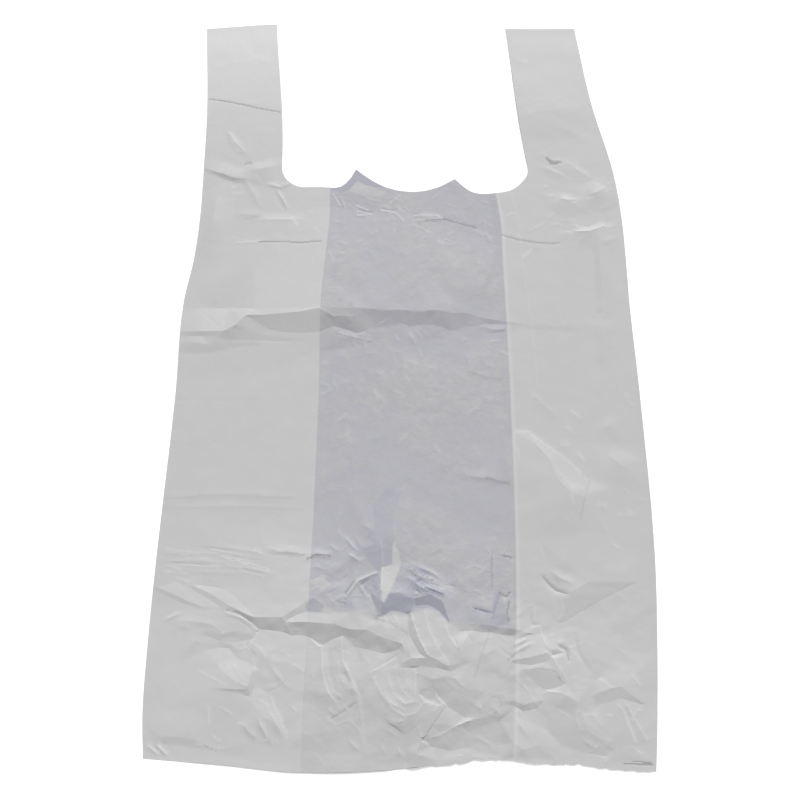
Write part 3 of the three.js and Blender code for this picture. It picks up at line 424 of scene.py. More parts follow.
# Lines pressed sharp: how far the film is lightened, partly by whitening and partly by a painted highlight,
# or below 0 darkened with a painted shade in the crease; and the run's points
LINES = (
    (-1, ((-149, 466), (-129, 462), (-110, 457.4), (-91, 453.4))),
    (-0.7, ((66, 354), (78, 350), (90, 348), (106, 347.4))),
    (-0.8, ((-104, 348.6), (-77, 347.6), (-61, 348.4))),
    (0.6, ((-120, 348), (-104, 348.8))),
    (-0.8, ((24, 367), (48, 360))),
    (0.9, ((4, 369.6), (20, 369.6), (24, 367), (6, 366))),
    (-0.35, ((113, 177), (109, 165), (106, 152))),
    (0.6, ((68, 210), (76, 210), (84, 203), (96, 193.5), (108, 181))),
    (-1, ((-59, 125), (-54, 128), (-46, 127))),
    (-0.5, ((-81, 130), (-70, 129), (-60, 127.6))),
    (0.6, ((-72, 88), (-69, 83), (-66, 78.4))),
    (0.3, ((-105, 91), (-96, 88), (-87, 80.8))),
    (-0.6, ((-106, 93), (-98, 90.6), (-90, 85.4))),
    (0.6, ((-86, 79), (-91, 71), (-96, 69))),
    (0.5, ((-90, 74), (-84, 69), (-80.6, 65))),
    (-0.4, ((-92, 71.4), (-87, 66.4))),
    (0.5, ((-118, 13), (-115, 13.8))),
    (-0.5, ((-113, 13.4), (-110, 12), (-106, 9.6))),
    (0.35, ((-99, 60), (-95, 54), (-92, 50))),
    (0.3, ((-104, 62), (-101, 57))),
    (0.4, ((-118, 56), (-111, 52), (-103, 48))),
    (-0.35, ((-103, 44.6), (-91, 44))),
    (-0.4, ((-79, 43.6), (-74, 46), (-68, 50.4))),
    (-0.15, ((-77, 60), (-71, 55), (-66, 50))),
    (0.7, ((-76, 41), (-73, 33), (-66, 20))),
    (0.6, ((-82, 26), (-77, 17))),
    (0.6, ((-146, 13), (-140, 8))),
    (0.6, ((-140.5, 13), (-135, 8))),
    (0.5, ((-112, 35), (-111, 25))),
    (0.7, ((-48, 71.6), (-47, 56), (-43, 43), (-38.6, 38))),
    (0.7, ((-55, 75.6), (-50, 71))),
    (0.5, ((-36.5, 77), (-35.4, 62), (-30, 51), (-25.6, 42), (-23, 28), (-21, 17))),
    (-0.6, ((-40, 28.6), (-33, 33), (-26, 38))),
    (0.5, ((-40, 30.4), (-43, 27), (-38, 25), (-30, 27.4), (-24, 22), (-21, 14))),
    (0.6, ((-18.4, 55.4), (-10, 60), (-4, 64))),
    (0.6, ((-17, 52), (-12, 42.4), (-5, 33.4), (2, 29.4), (8, 31), (13, 37.4))),
    (0.5, ((-13, 44), (-6, 36.6), (2, 33))),
    (0.6, ((7.4, 58), (8, 50), (7.6, 42))),
    (0.6, ((-8, 26), (-2, 24), (3, 25))),
    (-0.55, ((13, 16), (18, 24), (25, 35))),
    (0.8, ((13, 16.4), (22, 18.6), (32, 24), (39, 27))),
    (0.7, ((19, 48), (20, 41), (25, 36.4))),
    (0.8, ((3.4, 91.4), (6, 84), (9, 75), (14, 65))),
    (0.6, ((12, 92), (15, 80), (20, 70), (27, 59))),
    (0.7, ((24, 84), (27, 76), (31.4, 70))),
    (0.6, ((30, 52), (36.6, 46))),
    (-0.4, ((50.6, 80), (46, 66), (42, 52))),
    (-0.4, ((56.5, 104), (54, 95), (51, 84))),
    (0.5, ((65, 62.4), (74, 63.8), (84, 66.6))),
    (-0.45, ((70, 56.2), (79, 57.4), (90, 55.8))),
    (-0.6, ((61.4, 62), (65, 65.6))),
    (-0.5, ((90.6, 52), (94.4, 48.4))),
    (0.6, ((80, 81), (84, 72), (90, 60), (96, 50))),
    (-0.5, ((91, 71), (95.6, 68.6), (97, 62))),
    (0.5, ((74, 96), (77, 95), (77, 86))),
    (-0.6, ((82, 114), (86, 108.6), (90, 105), (97, 102.6))),
    (0.5, ((93, 100), (94, 92), (91, 87))),
    (-0.2, ((93, 85.2), (105, 92.6), (120, 101.4), (136.6, 109.8))),
    (0.5, ((66, 52), (74, 44), (80, 34))),
    (0.45, ((102.6, 38.6), (101.8, 28), (105, 21))),
    (0.55, ((124.6, 36.6), (128.4, 34), (132, 24), (136, 14.6))),
    (0.55, ((131, 36), (136, 26.6), (142.4, 17))),
    (0.5, ((115, 52), (119, 48), (123, 45.6))),
    (-1, ((130, 2.6), (138, 2.4), (147, 2))),
    (-0.8, ((135, 3.7), (146, 3.4))),
    (0.7, ((-15, 136), (-14, 120), (-14.6, 108), (-14, 98))),
    (1, ((-35, 101), (-29, 111), (-18, 116.4))),
    (0.9, ((-28.6, 110.4), (-23, 101.4))),
    (-0.8, ((-31, 111), (-35.6, 103.6))),
    (-0.7, ((-26.6, 109), (-22.6, 112))),
    (-0.8, ((3, 112), (8, 107), (13.6, 103.6))),
    (-0.8, ((12, 106.4), (18, 104), (24, 102))),
    (-0.7, ((1, 120), (8, 116), (16, 111.6))),
    (-0.7, ((40, 94.4), (46, 92.6), (51, 91))),
    (-0.35, ((39, 252), (50, 248), (60, 246))),
    (-0.6, ((48, 178), (63, 174))),
    (-0.7, ((-121, 410), (-117, 412.4), (-114, 409.6))),
    (-1, ((107.6, 416.6), (110.4, 410), (116, 412.6))),
    (-1, ((108.6, 415.4), (111.6, 411.4), (114.6, 412.6))),
    (0.4, ((106.6, 418.4), (111.6, 414.4), (117, 413.8))),
    (0.4, ((119.5, 412.6), (132.5, 400))),
    (-0.6, ((-137, 403), (-128, 399), (-119, 397.6))),
    (0.5, ((-130.6, 431), (-128, 425), (-125, 420.6))),
    (0.35, ((-143, 495.6), (-128, 498.6), (-118, 500))),
    (0.35, ((-122, 506), (-112, 503), (-104, 498))),
    (0.45, ((102, 500.5), (109, 498.6))),
    (0.3, ((-149, 414), (-144, 409.6))),
    (0.5, ((-133, 437), (-127, 428), (-121, 421))),
    (0.3, ((77, 391), (79, 340), (82, 290), (84, 240))),
    (-0.2, ((-137, 296.6), (-129, 289), (-121.5, 282.4))),
    (0.9, ((2, 280), (5.5, 272.4))),
    (0.7, ((-19.4, 285), (-14, 288.4))),
    (-0.4, ((-46, 279.2), (-38, 276.8), (-28, 274.2), (-21, 272.6))),
    (-0.4, ((-40, 296), (-36.6, 299.6))),
    (0.6, ((-8, 278), (-5, 273.6))),
    (0.4, ((8, 283), (14, 278))),
    (1, ((-38, 377.4), (-30, 373.4))),
    (-0.6, ((-36, 374), (-27, 372.4))),
    (1, ((-20, 373.4), (-11, 371.8))),
    (-0.5, ((-19, 375), (-10, 373.6))),
    (0.9, ((-13, 379), (-6, 385))),
    (0.8, ((-9, 371), (-4, 365.6))),
    (1, ((-55, 386), (-50, 377))),
    (0.8, ((-49, 384), (-46, 376))),
    (0.5, ((-9, 53), (-5, 43), (2, 36))),
    (0.45, ((-4, 55), (-1, 46), (5, 39))),
    (0.4, ((2, 56), (3, 48), (7, 44))),
    (0.3, ((-12, 49), (-8, 41), (-2, 35))),
    (0.4, ((-45.4, 71.4), (-43.6, 56), (-39.8, 44.6), (-36, 40.4))),
    (0.3, ((-33, 60), (-28, 50), (-24.6, 40))),
    (0.4, ((-38, 62), (-37, 54), (-33, 46))),
    (0.5, ((-33, 57), (-30, 53))),
    (-0.35, ((-34.4, 55), (-31, 50.4))),
    (0.5, ((-35, 50), (-31, 45.6))),
    (0.45, ((-29.6, 48), (-27, 43))),
    (-0.3, ((-30.6, 44), (-28, 40))),
    (0.5, ((-41, 34), (-43, 30), (-40.6, 27))),
    (0.5, ((-36, 33.6), (-31, 37))),
    (0.4, ((-28, 33), (-25, 29))),
    (0.3, ((-36, 42), (-34, 36), (-29, 31))),
    (0.3, ((-40, 41), (-37, 35))),
    (-0.2, ((-149, 232.4), (-125, 232), (-96, 233))),
    (0.45, ((-105, 366.4), (-78, 366))),
    (-0.35, ((-121, 369.4), (-108, 368.4))),
    (-0.3, ((-148, 165), (-110, 166.4), (-71, 165))),
    (-0.25, ((-148, 158), (-100, 159), (-64, 157))),
    (0.4, ((-57, 124), (-50, 126))),
    (0.4, ((-48, 118), (-42, 122))),
    (0.7, ((-34, 128), (-28, 124))),
    (0.5, ((-38, 140), (-33, 134), (-30, 131))),
    (0.3, ((-27, 148), (-21, 144))),
    (0.4, ((-44, 131), (-36, 133))),
    (-0.4, ((-52, 116), (-44, 114))),
    (0.4, ((-57, 104), (-52, 107.4))),
    (0.4, ((-146, 132), (-128, 129.4), (-112, 128.6))),
    (0.35, ((-140, 126.4), (-118, 125.6))),
    (0.45, ((-118, 131.4), (-100, 128))),
    (0.4, ((-132, 121.4), (-112, 119.4))),
    (0.5, ((-106, 124.4), (-92, 121.6), (-82, 118))),
    (0.45, ((-100, 117.8), (-84, 113.4))),
    (0.35, ((-146, 118), (-130, 115.4))),
    (0.2, ((-90, 136), (-72, 134))),
    (0.45, ((-96, 131), (-84, 127.6))),
    (-0.35, ((-104, 126.4), (-88, 124.4))),
    (-0.3, ((-98, 119.4), (-86, 116))),
    (-0.35, ((-140, 123), (-122, 121.6))),
    (-0.3, ((-112, 122), (-100, 120.6))),
    (-0.25, ((-126, 133.4), (-108, 130.4))),
    (0.45, ((-112, 126.6), (-98, 124.6))),
    (0.4, ((-92, 119.6), (-80, 115.6))),
    (0.3, ((88, 102), (88.6, 93), (90, 87.6))),
    (0.3, ((69, 110), (72.6, 104))),
    (0.3, ((68, 97), (72, 100.4))),
    (0.3, ((55, 362), (52, 345), (48, 326))),
    (-0.5, ((-17, 88), (-12, 85.6))),
    (0.6, ((-12, 88.6), (-8, 85))),
    (-0.5, ((-9, 86), (-4, 82))),
    (0.6, ((-6, 90), (-3, 84.6))),
    (0.5, ((0, 89), (1, 82))),
    (-0.4, ((-2, 81), (3, 77.6))),
    (-0.8, ((5, 106), (9, 103.4))),
    (-0.7, ((6, 110.4), (10, 112.4))),
    (-0.6, ((15, 109.6), (20, 108))),
    (-0.6, ((3, 118), (6, 114))),
    (-0.5, ((-20, 112), (-17, 105))),
    (-0.5, ((-24, 108), (-22, 103.6))),
    (-0.6, ((-40, 98), (-35, 97))),
    (-0.5, ((24, 109), (30, 108))),
    (-0.5, ((52, 130), (51, 118), (52, 106))),
    (-0.9, ((58, 127.4), (63, 126))),
    (-0.9, ((56, 104), (60, 101), (62, 104))),
    (-0.8, ((61.6, 98), (60.6, 90), (62, 84))),
    (0.4, ((48, 108), (51, 111))),
    (0.4, ((45, 103), (48, 97))),
    (-0.4, ((31, 74), (32.6, 68))),
    (0.4, ((36, 80), (35, 72))),
    (-0.4, ((38, 78), (41, 74))),
    (0.4, ((56, 78), (61, 74))),
    (-0.35, ((57, 70), (63, 65))),
    (0.35, ((58, 66), (64, 62))),
    (0.4, ((46, 46), (45, 38), (47, 32))),
    (-0.4, ((53, 41), (57, 40), (58, 36))),
    (0.4, ((59, 44), (62, 36))),
    (-0.4, ((-14, 59.6), (-9, 62.4), (-4, 66))),
    (-0.3, ((-27, 68), (-24, 62))),
    (0.3, ((-24, 67), (-20, 61))),
    (0.6, ((117, 356.6), (127, 357), (136, 361))),
    (0.5, ((130, 386), (136, 388), (141, 392))),
    (0.5, ((110, 383.6), (114.6, 381.6), (119, 382))),
    (0.4, ((92, 183), (100, 174), (108, 171))),
    (0.4, ((96, 173), (104, 169))),
    (0.35, ((104, 32), (108, 26), (116, 20))),
    (0.35, ((112, 30), (117, 24))),
    (0.3, ((70, 28), (76, 22), (78, 14))),
    (0.35, ((80, 32), (84, 27), (82, 21))),
    (0.5, ((-1, 74), (1.4, 66))),
    (0.8, ((48, 358), (53, 354))),
    (0.8, ((55, 356), (58, 349))),
    (0.8, ((-35, 376), (-38, 369), (-27, 370))),
)

# Short slivers pressed in at random: left, right, lower and upper bound, how many, mean turn and spread
SLIVERS = (
    (-56, 62, 338, 386, 70, -0.2, 1.0), (-56, 62, 225, 282, 60, -0.5, 0.9),
    (-56, 62, 140, 225, 30, 0, 1.2), (-52, 60, 94, 138, 70, 0.2, 1.2),
    (68, 146, 130, 240, 24, -0.6, 0.8), (68, 146, 330, 404, 24, 0.2, 0.8),
    (-146, -62, 350, 404, 14, -0.4, 0.8), (-146, -62, 108, 138, 14, -0.2, 0.2),
    (-146, -62, 60, 84, 8, -0.3, 0.5), (-120, 0, 6, 76, 26, -0.8, 0.6), (0, 146, 6, 78, 52, 0, 1.3),
)
SLIVER_SEED = 5
SLIVER_LENGTHS = (3.0, 9.0)
# How far a sliver lightens the film: partly whitening, partly a painted glint
SLIVER_SHADES = (0.15, 0.6)

# How far round a run the mesh is searched for points to move onto it, and the rise of the film along a
# line, per unit of its lightening; a dip where it is darkened with painted shade
SNAP_MARGIN = 2.0
LINE_RISE = 0.18

# Patches of film: above 0 where it clings to the next layer and looks dark, below 0 where it stands off;
# a narrow rim round each one still counts to it
CLING = (
    (1.0, ((-10.6, 103.6), (4, 103), (5, 100), (3, 91), (-2, 92.4), (-8, 93), (-13, 89.4), (-13.6, 95))),
    (0.45, ((-3.4, 122), (3, 121), (5, 112), (6, 102), (-10.6, 103.6), (-7, 111))),
    (0.55, ((-16.4, 136), (-27, 131), (-16.6, 117), (-14, 120), (-8, 121), (-8, 136))),
    (0.6, ((-16.6, 117), (-14.6, 108), (-14, 98), (-15.4, 92.4), (-18, 96), (-21, 104))),
    (0.6, ((-58.6, 95), (-55, 99.6), (-48, 96), (-50, 92), (-57, 92))),
    (0.7, ((5, 101), (15, 102.4), (22, 98.4), (27, 85), (20.4, 92.6), (14, 95), (7, 95))),
    (1, ((2, 113), (9, 112), (24, 103), (22, 101), (10, 104))),
    (0.9, ((0, 121.6), (4, 120.4), (9, 119.4), (14, 115), (12, 113.8), (7, 117), (2, 118.6))),
    (0.42, ((-8, 136), (-9, 150), (-5, 166), (-13, 170), (-20.6, 160), (-19, 146), (-24, 139),
            (-16.4, 136))),
    (0.5, ((-28, 110), (-18.4, 115.4), (-24, 103))),
    (1, ((40, 95), (51, 92), (50, 90), (42, 92))),
    (0.6, ((53, 104), (56, 104), (62, 84), (52, 84))),
    (0.6, ((-38, 98), (-32, 99), (-30, 94), (-38, 95))),
    (-0.9, ((-14, 120), (-3.4, 122), (-7, 111), (-12.6, 97.6), (-14.6, 108))),
    (-0.8, ((-8, 136), (-5, 130), (-3.4, 122), (-8, 121))),
    (-0.8, ((-57, 111), (-50, 113.4), (-45, 109.4), (-49.4, 106))),
    (-0.6, ((-43, 389), (-40, 394), (-34, 397), (-28, 393), (-16, 388), (-20, 385.6), (-32, 386))),
)
PATCH_RIM = 0.3

# Loose crumples over the whole front, from large facets to small ones: spacing and rise; how far they
# reach beyond the film aside and up, how far their points stray, and how rare the high ones are
CRUMPLES = ((15.0, 1.6), (8.0, 1.0), (4.5, 0.4))
CRUMPLE_SEED = 11
CRUMPLE_BEYOND = (10.0, 20.0)
CRUMPLE_JITTER = 0.48
CRUMPLE_POWER = 1.5

# How strong the crumples are: everywhere, in the window with its calm middle, and in the bottom third,
# where they grow towards the right and calm down at the hem
LOOSE_ALL = 0.1
LOOSE_WINDOW = 0.12
LOOSE_BOTTOM = 0.06
LOOSE_RIGHT = 0.14
WINDOW_FADE = 12.0
WINDOW_TOP = (300.0, 380.0)
CALM_MIDDLE = 190.0
CALM_REACH = (30.0, 80.0)
CALM_SHARE = 0.3
BOTTOM_TOP = (85.0, 135.0)
BOTTOM_RIGHT = (-110.0, -50.0)
HEM_CALM_SHARE = 0.25
HEM_CALM_REACH = 40.0

# Facets are read from above, points nearer than this are one, and a fold beyond the angle looks sharp
READ_FROM = 100.0
SAME_POINT = 1e-5
SHARP_FOLD = math.radians(8)

# Noises of the film's finish: scale per metre and detail
NOISES = {
    "clouds": (24.0, 3.0), "patches": (70.0, 3.0), "flecks": (190.0, 4.0), "grain": (420.0, 4.0),
    "worked": (16.0, 2.0), "broad crinkle": (60.0, 2.0), "fine crinkle": (150.0, 2.0),
}
NOISE_ROUGHNESS = 0.55
NOISE_MIDDLE = 0.5
WORKED_BETWEEN = (0.4, 0.6)
BLOTCH_BETWEEN = (0.3, 0.7)
BLOTCH_SHIFT = 0.16

# How much lighter the film is than its tint, or below 0 darker, in each kind of place
TONES = {
    # The handles are painted lighter with glare, the left one most
    "handle": 0.05, "left handle": 0.13, "gusset edge": 0.06, "hem": 0.025, "loose": 0.035,
    # The right side is a touch darker with painted shade
    "right side": -0.02, "window top": -0.025, "patches": 0.05, "clouds": 0.05, "window clouds": -0.03,
    # Along the pressed lines: lighter by whitening with painted highlights, darker below 0 by painted
    # crease shade
    "flecks": 0.1, "whitening_and_highlight": 0.16, "shaded": -0.35,
}

# Where the finish changes: half the width of the window's edge, then from the start to the full change
WINDOW_EDGE = 0.4
# Strip of painted highlight on the gusset side of the right fold
GUSSET_EDGE = (FOLD_RIGHT + 2.8, FOLD_RIGHT + 2.0)
HEM_TONE = (45.0, 0.0)
WINDOW_TOP_TONE = (290.0, 310.0)
WINDOW_FOOT = (150.0, 125.0)
BACK_LEVEL = (0.5, 0.4)

# Fine grain and crinkle of the film, too small for the mesh, and its gloss
FINE_CRINKLE_SHARE = 0.6
GRAIN_BUMP = 0.4
WINDOW_GRAIN_BUMP = 0.5
CRINKLE_BUMP = 0.5
WORKED_CRINKLE_BUMP = 1.3
FOOT_CRINKLE_BUMP = 1.2
BUMP_STRENGTH = 0.25
BUMP_DISTANCE = 0.0004
ROUGHNESS_SPREAD = 0.12
SPECULAR_LEVEL = 0.18

# Stage, in metres; the sensor in millimetres
FLOOR_HALF = 6.0
FLOOR_CELLS = 8
SENSOR_WIDTH = 36.0
CLIP_START = 0.01


def smooth(value, low, high):
    """Ease from 0 at low to 1 at high"""
    share = np.clip((value - low) / (high - low), 0, 1)
    return share * share * (3 - 2 * share)


def at_least(least, share):
    """Lift a share so that it runs from the least to 1"""
    return least + (1 - least) * share


def into_window(x):
    """How far each place lies inside the window between the gussets"""
    return np.minimum(x - FOLD_LEFT, FOLD_RIGHT - x)


def guide(stations, shares, places):
    """Follow a smooth curve through the shares given at the stations"""
    stations = np.asarray(stations, float)
    shares = np.asarray(shares, float)
    slopes = np.diff(shares) / np.diff(stations)
    tangents = np.concatenate((slopes[:1], (slopes[1:] + slopes[:-1]) / 2, slopes[-1:]))
    cell = np.clip(np.searchsorted(stations, places) - 1, 0, len(slopes) - 1)
    step = np.diff(stations)[cell]
    t = (places - stations[cell]) / step
    keep = 1 - t
    value = shares[cell] * (1 + 2 * t) * keep * keep + shares[cell + 1] * (3 - 2 * t) * t * t
    return value + step * t * keep * (tangents[cell] * keep - tangents[cell + 1] * t)


def lay_wave(x, y):
    """Shift along the bag where its bottom edge waves, its mouth sags and its handle tops drop"""
    across = x / BAG_WIDTH + 0.5
    bottom = BOTTOM_WAVE * guide(WAVE_STATIONS, WAVE_SHARES, across)
    top = TOP_DROP * guide(TOP_STATIONS, TOP_SHARES, across)
    mouth = MOUTH_SAG * guide(MOUTH_STATIONS, MOUTH_SHARES, across)
    near_bottom = 1 - smooth(y, 0, BOTTOM_WAVE_REACH)
    near_mouth = smooth(y, MOUTH_SAG_FROM, MOUTH_LINE)
    near_mouth *= 1 - smooth(y, MOUTH_LINE, HANDLE_START + RAMP_WIDTH)
    return bottom * near_bottom + mouth * near_mouth + top * smooth(y, HANDLE_START, BAG_LENGTH)


def lay(x, y):
    """Place of a point of the flat bag on the table"""
    along = y / BAG_LENGTH
    left_inner = guide(DRIFT_STATIONS, DRIFT_LEFT_INNER, along)
    right_inner = guide(DRIFT_STATIONS, DRIFT_RIGHT_INNER, along)
    left_edge = guide(DRIFT_STATIONS, DRIFT_LEFT_EDGE, along)
    right_edge = guide(DRIFT_STATIONS, DRIFT_RIGHT_EDGE, along)
    out = np.clip((np.abs(x) - HANDLE_INNER) / HANDLE_ROOT, 0, 1)
    between = np.clip((x + HANDLE_INNER) / (2 * HANDLE_INNER), 0, 1)
    drift = left_inner + (right_inner - left_inner) * between
    drift += np.where(x < 0, left_edge - left_inner, right_edge - right_inner) * out
    return x + SIDE_DRIFT * drift, y + lay_wave(x, y)


def torn_edge(x, y, sheet):
    """Shift of the torn bottom edge: uneven on the front, its full depth on the layers under it"""
    stations = np.arange(-HALF_WIDTH, HALF_WIDTH + TORN_STEP, TORN_STEP)
    uneven = np.random.default_rng(TORN_SEED).random(len(stations)) ** 2
    depth = np.where(sheet == FRONT, np.interp(x, stations, uneven), 1)
    return TORN_DEPTH * depth * smooth(x, *TORN_FROM) * (1 - smooth(y, 0, TORN_REACH))


def body_top(x):
    """Upper end of the body's film: the die-cut mouth or the foot of a handle"""
    top = np.full_like(x, MOUTH_LINE)
    for side, rise in CUSP_RISE.items():
        away = (x - side * CUSP_X) * side
        reach = np.where(away > 0, CUSP_REACH_OUT, CUSP_REACH_IN)
        top += rise * np.clip(1 - np.abs(away) / reach, 0, 1) ** 2
    corner = np.clip(np.abs(x) - (HANDLE_INNER - CORNER_RADIUS), 0, CORNER_RADIUS)
    return np.where(corner > 0, HANDLE_START - np.sqrt(CORNER_RADIUS ** 2 - corner ** 2), top)


def slip_share(x):
    """Share of the front's slip, full at the left point of the mouth"""
    return 1 - smooth(np.abs(x + CUSP_X), 0, SLIP_REACH)


def facets(points, edges, x, y):
    """Height of the flat facets spanned between crease points, at each place"""
    flat = [Vector(point[:2]) for point in points]
    corners, _, faces, sources, _, _ = delaunay_2d_cdt(flat, edges, [], 0, SAME_POINT)
    if not all(sources):
        raise ValueError("crease lines cross each other")
    heights = [points[source[0]][2] for source in sources]
    surface = [(corner.x, corner.y, height) for corner, height in zip(corners, heights)]
    tree = BVHTree.FromPolygons(surface, faces)
    down = Vector((0, 0, -1))
    out = np.zeros(x.size)
    for index, (px, py) in enumerate(zip(x.ravel(), y.ravel())):
        hit = tree.ray_cast(Vector((px, py, READ_FROM)), down)[0]
        if hit is not None:
            out[index] = hit.z
    return out.reshape(x.shape)


def crease_height(x, y):
    """Height of the film on the crease lines and the facets between them"""
    points = list(REST_POINTS + FLAT_FRAME)
    edges = []
    for line in CREASES:
        first = len(points)
        points.extend(line)
        edges.extend((first + i, first + i + 1) for i in range(len(line) - 1))
    return facets(points, edges, x, y)


def wrinkle_height(rise, left, right, run, x, y):
    """Height of one narrow wrinkle: a tent along its run, low at both ends"""
    lengths = [math.dist(a, b) for a, b in zip(run, run[1:])]
    total = sum(lengths)
    passed = 0.0
    height = np.zeros_like(x)
    for (x1, y1), (x2, y2), length in zip(run, run[1:], lengths):
        run_x = (x2 - x1) / length
        run_y = (y2 - y1) / length
        along = (x - x1) * run_x + (y - y1) * run_y
        aside = (y - y1) * run_x - (x - x1) * run_y
        past = np.maximum(np.maximum(-along, along - length), 0)
        share = (passed + np.clip(along, 0, length)) / total
        turn = WRINKLE_START + (1 - 2 * WRINKLE_START) * share
        crest = abs(rise) * np.sin(math.pi * turn)
        flank = np.where(aside > 0, left, right)
        height = np.maximum(height, crest * np.clip(1 - np.hypot(aside, past) / flank, 0, 1))
        passed += length
    return math.copysign(1, rise) * height


def crumple_height(spacing, rise, seed, x, y):
    """Height of random small facets of one size"""
    rng = np.random.default_rng(seed)
    points = []
    aside, up = CRUMPLE_BEYOND
    for py in np.arange(-up, BAG_LENGTH + up, spacing):
        for px in np.arange(-HALF_WIDTH - aside, HALF_WIDTH + aside, spacing):
            jitter = rng.uniform(-CRUMPLE_JITTER, CRUMPLE_JITTER, 2) * spacing
            points.append((px + jitter[0], py + jitter[1], rise * rng.random() ** CRUMPLE_POWER))
    return facets(points, [], x, y)


def drawn_runs():
    """Every placed run that the mesh follows, with how far the film is lightened along it by whitening and
    a painted highlight, or below 0 darkened with painted shade

    The order counts: where two runs are equally near, the first one takes the point.
    """
    runs = list(LINES)
    runs.extend((0, crease) for crease in CREASES)
    runs.extend((0, run) for *_, run in WRINKLES)
    runs.extend((0, patch + patch[:1]) for _, patch in CLING)
    return runs


def sliver_runs():
    """The random slivers, with how far the film is lightened along them by whitening and a painted glint"""
    runs = []
    rng = np.random.default_rng(SLIVER_SEED)
    for left, right, low, high, count, mean_turn, turn_spread in SLIVERS:
        for _ in range(count):
            start = rng.uniform((left, low), (right, high))
            turn = mean_turn + rng.uniform(-turn_spread, turn_spread)
            length = rng.uniform(*SLIVER_LENGTHS)
            end = start + length * np.array((math.cos(turn), math.sin(turn)))
            runs.append((rng.uniform(*SLIVER_SHADES), (tuple(start), tuple(end))))
    return runs


def press(columns, x, y):
    """Move the nearest points of the front onto its runs; tell how far each is lightened by whitening and a
    painted highlight, or below 0 darkened with painted shade, and which moved
    """
    wave = lay_wave(x, y)
    places = np.stack((x, y + wave))
    moved = places.copy()
    row_step = np.abs(np.gradient(y, axis=0))
    column_step = np.abs(np.gradient(x, axis=1))
    nearest = np.ones(x.shape)
    nearest[[0, BODY_ROWS, -1]] = 0
    nearest[:, [0, -1]] = 0
    nearest[BODY_ROWS:, np.isclose(np.abs(columns), HANDLE_INNER)] = 0
    whitening_and_highlight = np.zeros(x.shape)
    on_run = np.zeros(x.shape, bool)
    for runs in (drawn_runs(), sliver_runs()):
        for shade, run in runs:
            for (x1, y1, *_), (x2, y2, *_) in zip(run, run[1:]):
                across = np.abs(places[0] - (x1 + x2) / 2) < abs(x2 - x1) / 2 + SNAP_MARGIN
                up = np.abs(places[1] - (y1 + y2) / 2) < abs(y2 - y1) / 2 + SNAP_MARGIN
                near = np.nonzero(across & up)
                length = math.dist((x1, y1), (x2, y2))
                run_x, run_y = (x2 - x1) / length, (y2 - y1) / length
                px, py = places[0][near], places[1][near]
                along = np.clip((px - x1) * run_x + (py - y1) * run_y, 0, length)
                foot = np.stack((x1 + along * run_x, y1 + along * run_y))
                reach = (abs(run_x) * row_step[near] + abs(run_y) * column_step[near]) / 2
                gap = np.hypot(px - foot[0], py - foot[1]) / reach
                closer = gap < nearest[near]
                chosen = tuple(axis[closer] for axis in near)
                nearest[chosen] = gap[closer]
                moved[:, chosen[0], chosen[1]] = foot[:, closer]
                whitening_and_highlight[chosen] = shade
                on_run[chosen] = True
        nearest[on_run] = 0
    return moved[0], moved[1] - wave, whitening_and_highlight, on_run


def inside(patch, x, y):
    """Whether each place lies in a closed patch"""
    within = np.zeros(x.shape, bool)
    for (x1, y1), (x2, y2) in zip(patch, patch[1:] + patch[:1]):
        if y1 != y2:
            edge_x = x1 + (y - y1) * (x2 - x1) / (y2 - y1)
            within ^= ((y1 > y) != (y2 > y)) & (x < edge_x)
    return within


def contact_share(x, y):
    """1 where the film stands off the layer under it, 0 where it lies in contact"""
    edge_x, edge_y = np.array(CONTACT_EDGE, float).T
    edge = np.interp(x, edge_x, edge_y)
    return 1 - smooth(y, edge - CONTACT_BLUR, edge + CONTACT_BLUR)


def looseness(x, y, laid_y):
    """How strongly the film is crumpled at each place"""
    window = smooth(into_window(x), 0, WINDOW_FADE) * (1 - smooth(y, *WINDOW_TOP))
    window *= at_least(CALM_SHARE, smooth(np.abs(y - CALM_MIDDLE), *CALM_REACH))
    bottom = LOOSE_BOTTOM + LOOSE_RIGHT * smooth(x, *BOTTOM_RIGHT)
    bottom *= 1 - smooth(laid_y, *BOTTOM_TOP)
    bottom *= at_least(HEM_CALM_SHARE, smooth(y, 0, HEM_CALM_REACH))
    return LOOSE_ALL + LOOSE_WINDOW * window + bottom


def relief(x, y, fold_scale, crumple_scale):
    """Height of the front's folds and crumples over its layers"""
    laid_y = y + lay_wave(x, y)
    height = fold_scale * crease_height(x, laid_y)
    for rise, left, right, run in WRINKLES:
        height += fold_scale * wrinkle_height(rise, left, right, run, x, laid_y)
    loose = crumple_scale * looseness(x, y, laid_y)
    for index, (spacing, rise) in enumerate(CRUMPLES):
        height += loose * crumple_height(spacing, rise, CRUMPLE_SEED + index, x, laid_y)
    from_side = smooth(HALF_WIDTH - np.abs(x), 0, EDGE_FADE)
    from_weld = smooth(np.minimum(y, BAG_LENGTH - y), 0, WELD_OPENING)
    fade = at_least(EDGE_LIFT_SHARE, from_side) * at_least(WELD_LIFT_SHARE, from_weld)
    curl = FRONT_CURL * slip_share(x) * smooth(y, STRAIGHT_TOP, MOUTH_LINE)
    sink = HEM_SINK * (1 - smooth(y, 0, HEM_SINK_REACH))
    return np.maximum(height - sink, 0) * fade + curl


def layer_height(level, y):
    """Height of a layer: the layers close up on each other at the welds"""
    opening = smooth(y, 0, LAYER_OPENING) * smooth(BAG_LENGTH - y, 0, LAYER_OPENING)
    return FILM_HALF + level * LAYER_PITCH * at_least(WELD_PITCH_SHARE, opening)


def front_level(x):
    """Level of the front: on three layers over the gussets, on one between them"""
    return FRONT_LEVEL - 2 * np.clip(into_window(x) / RAMP_WIDTH, 0, 1)


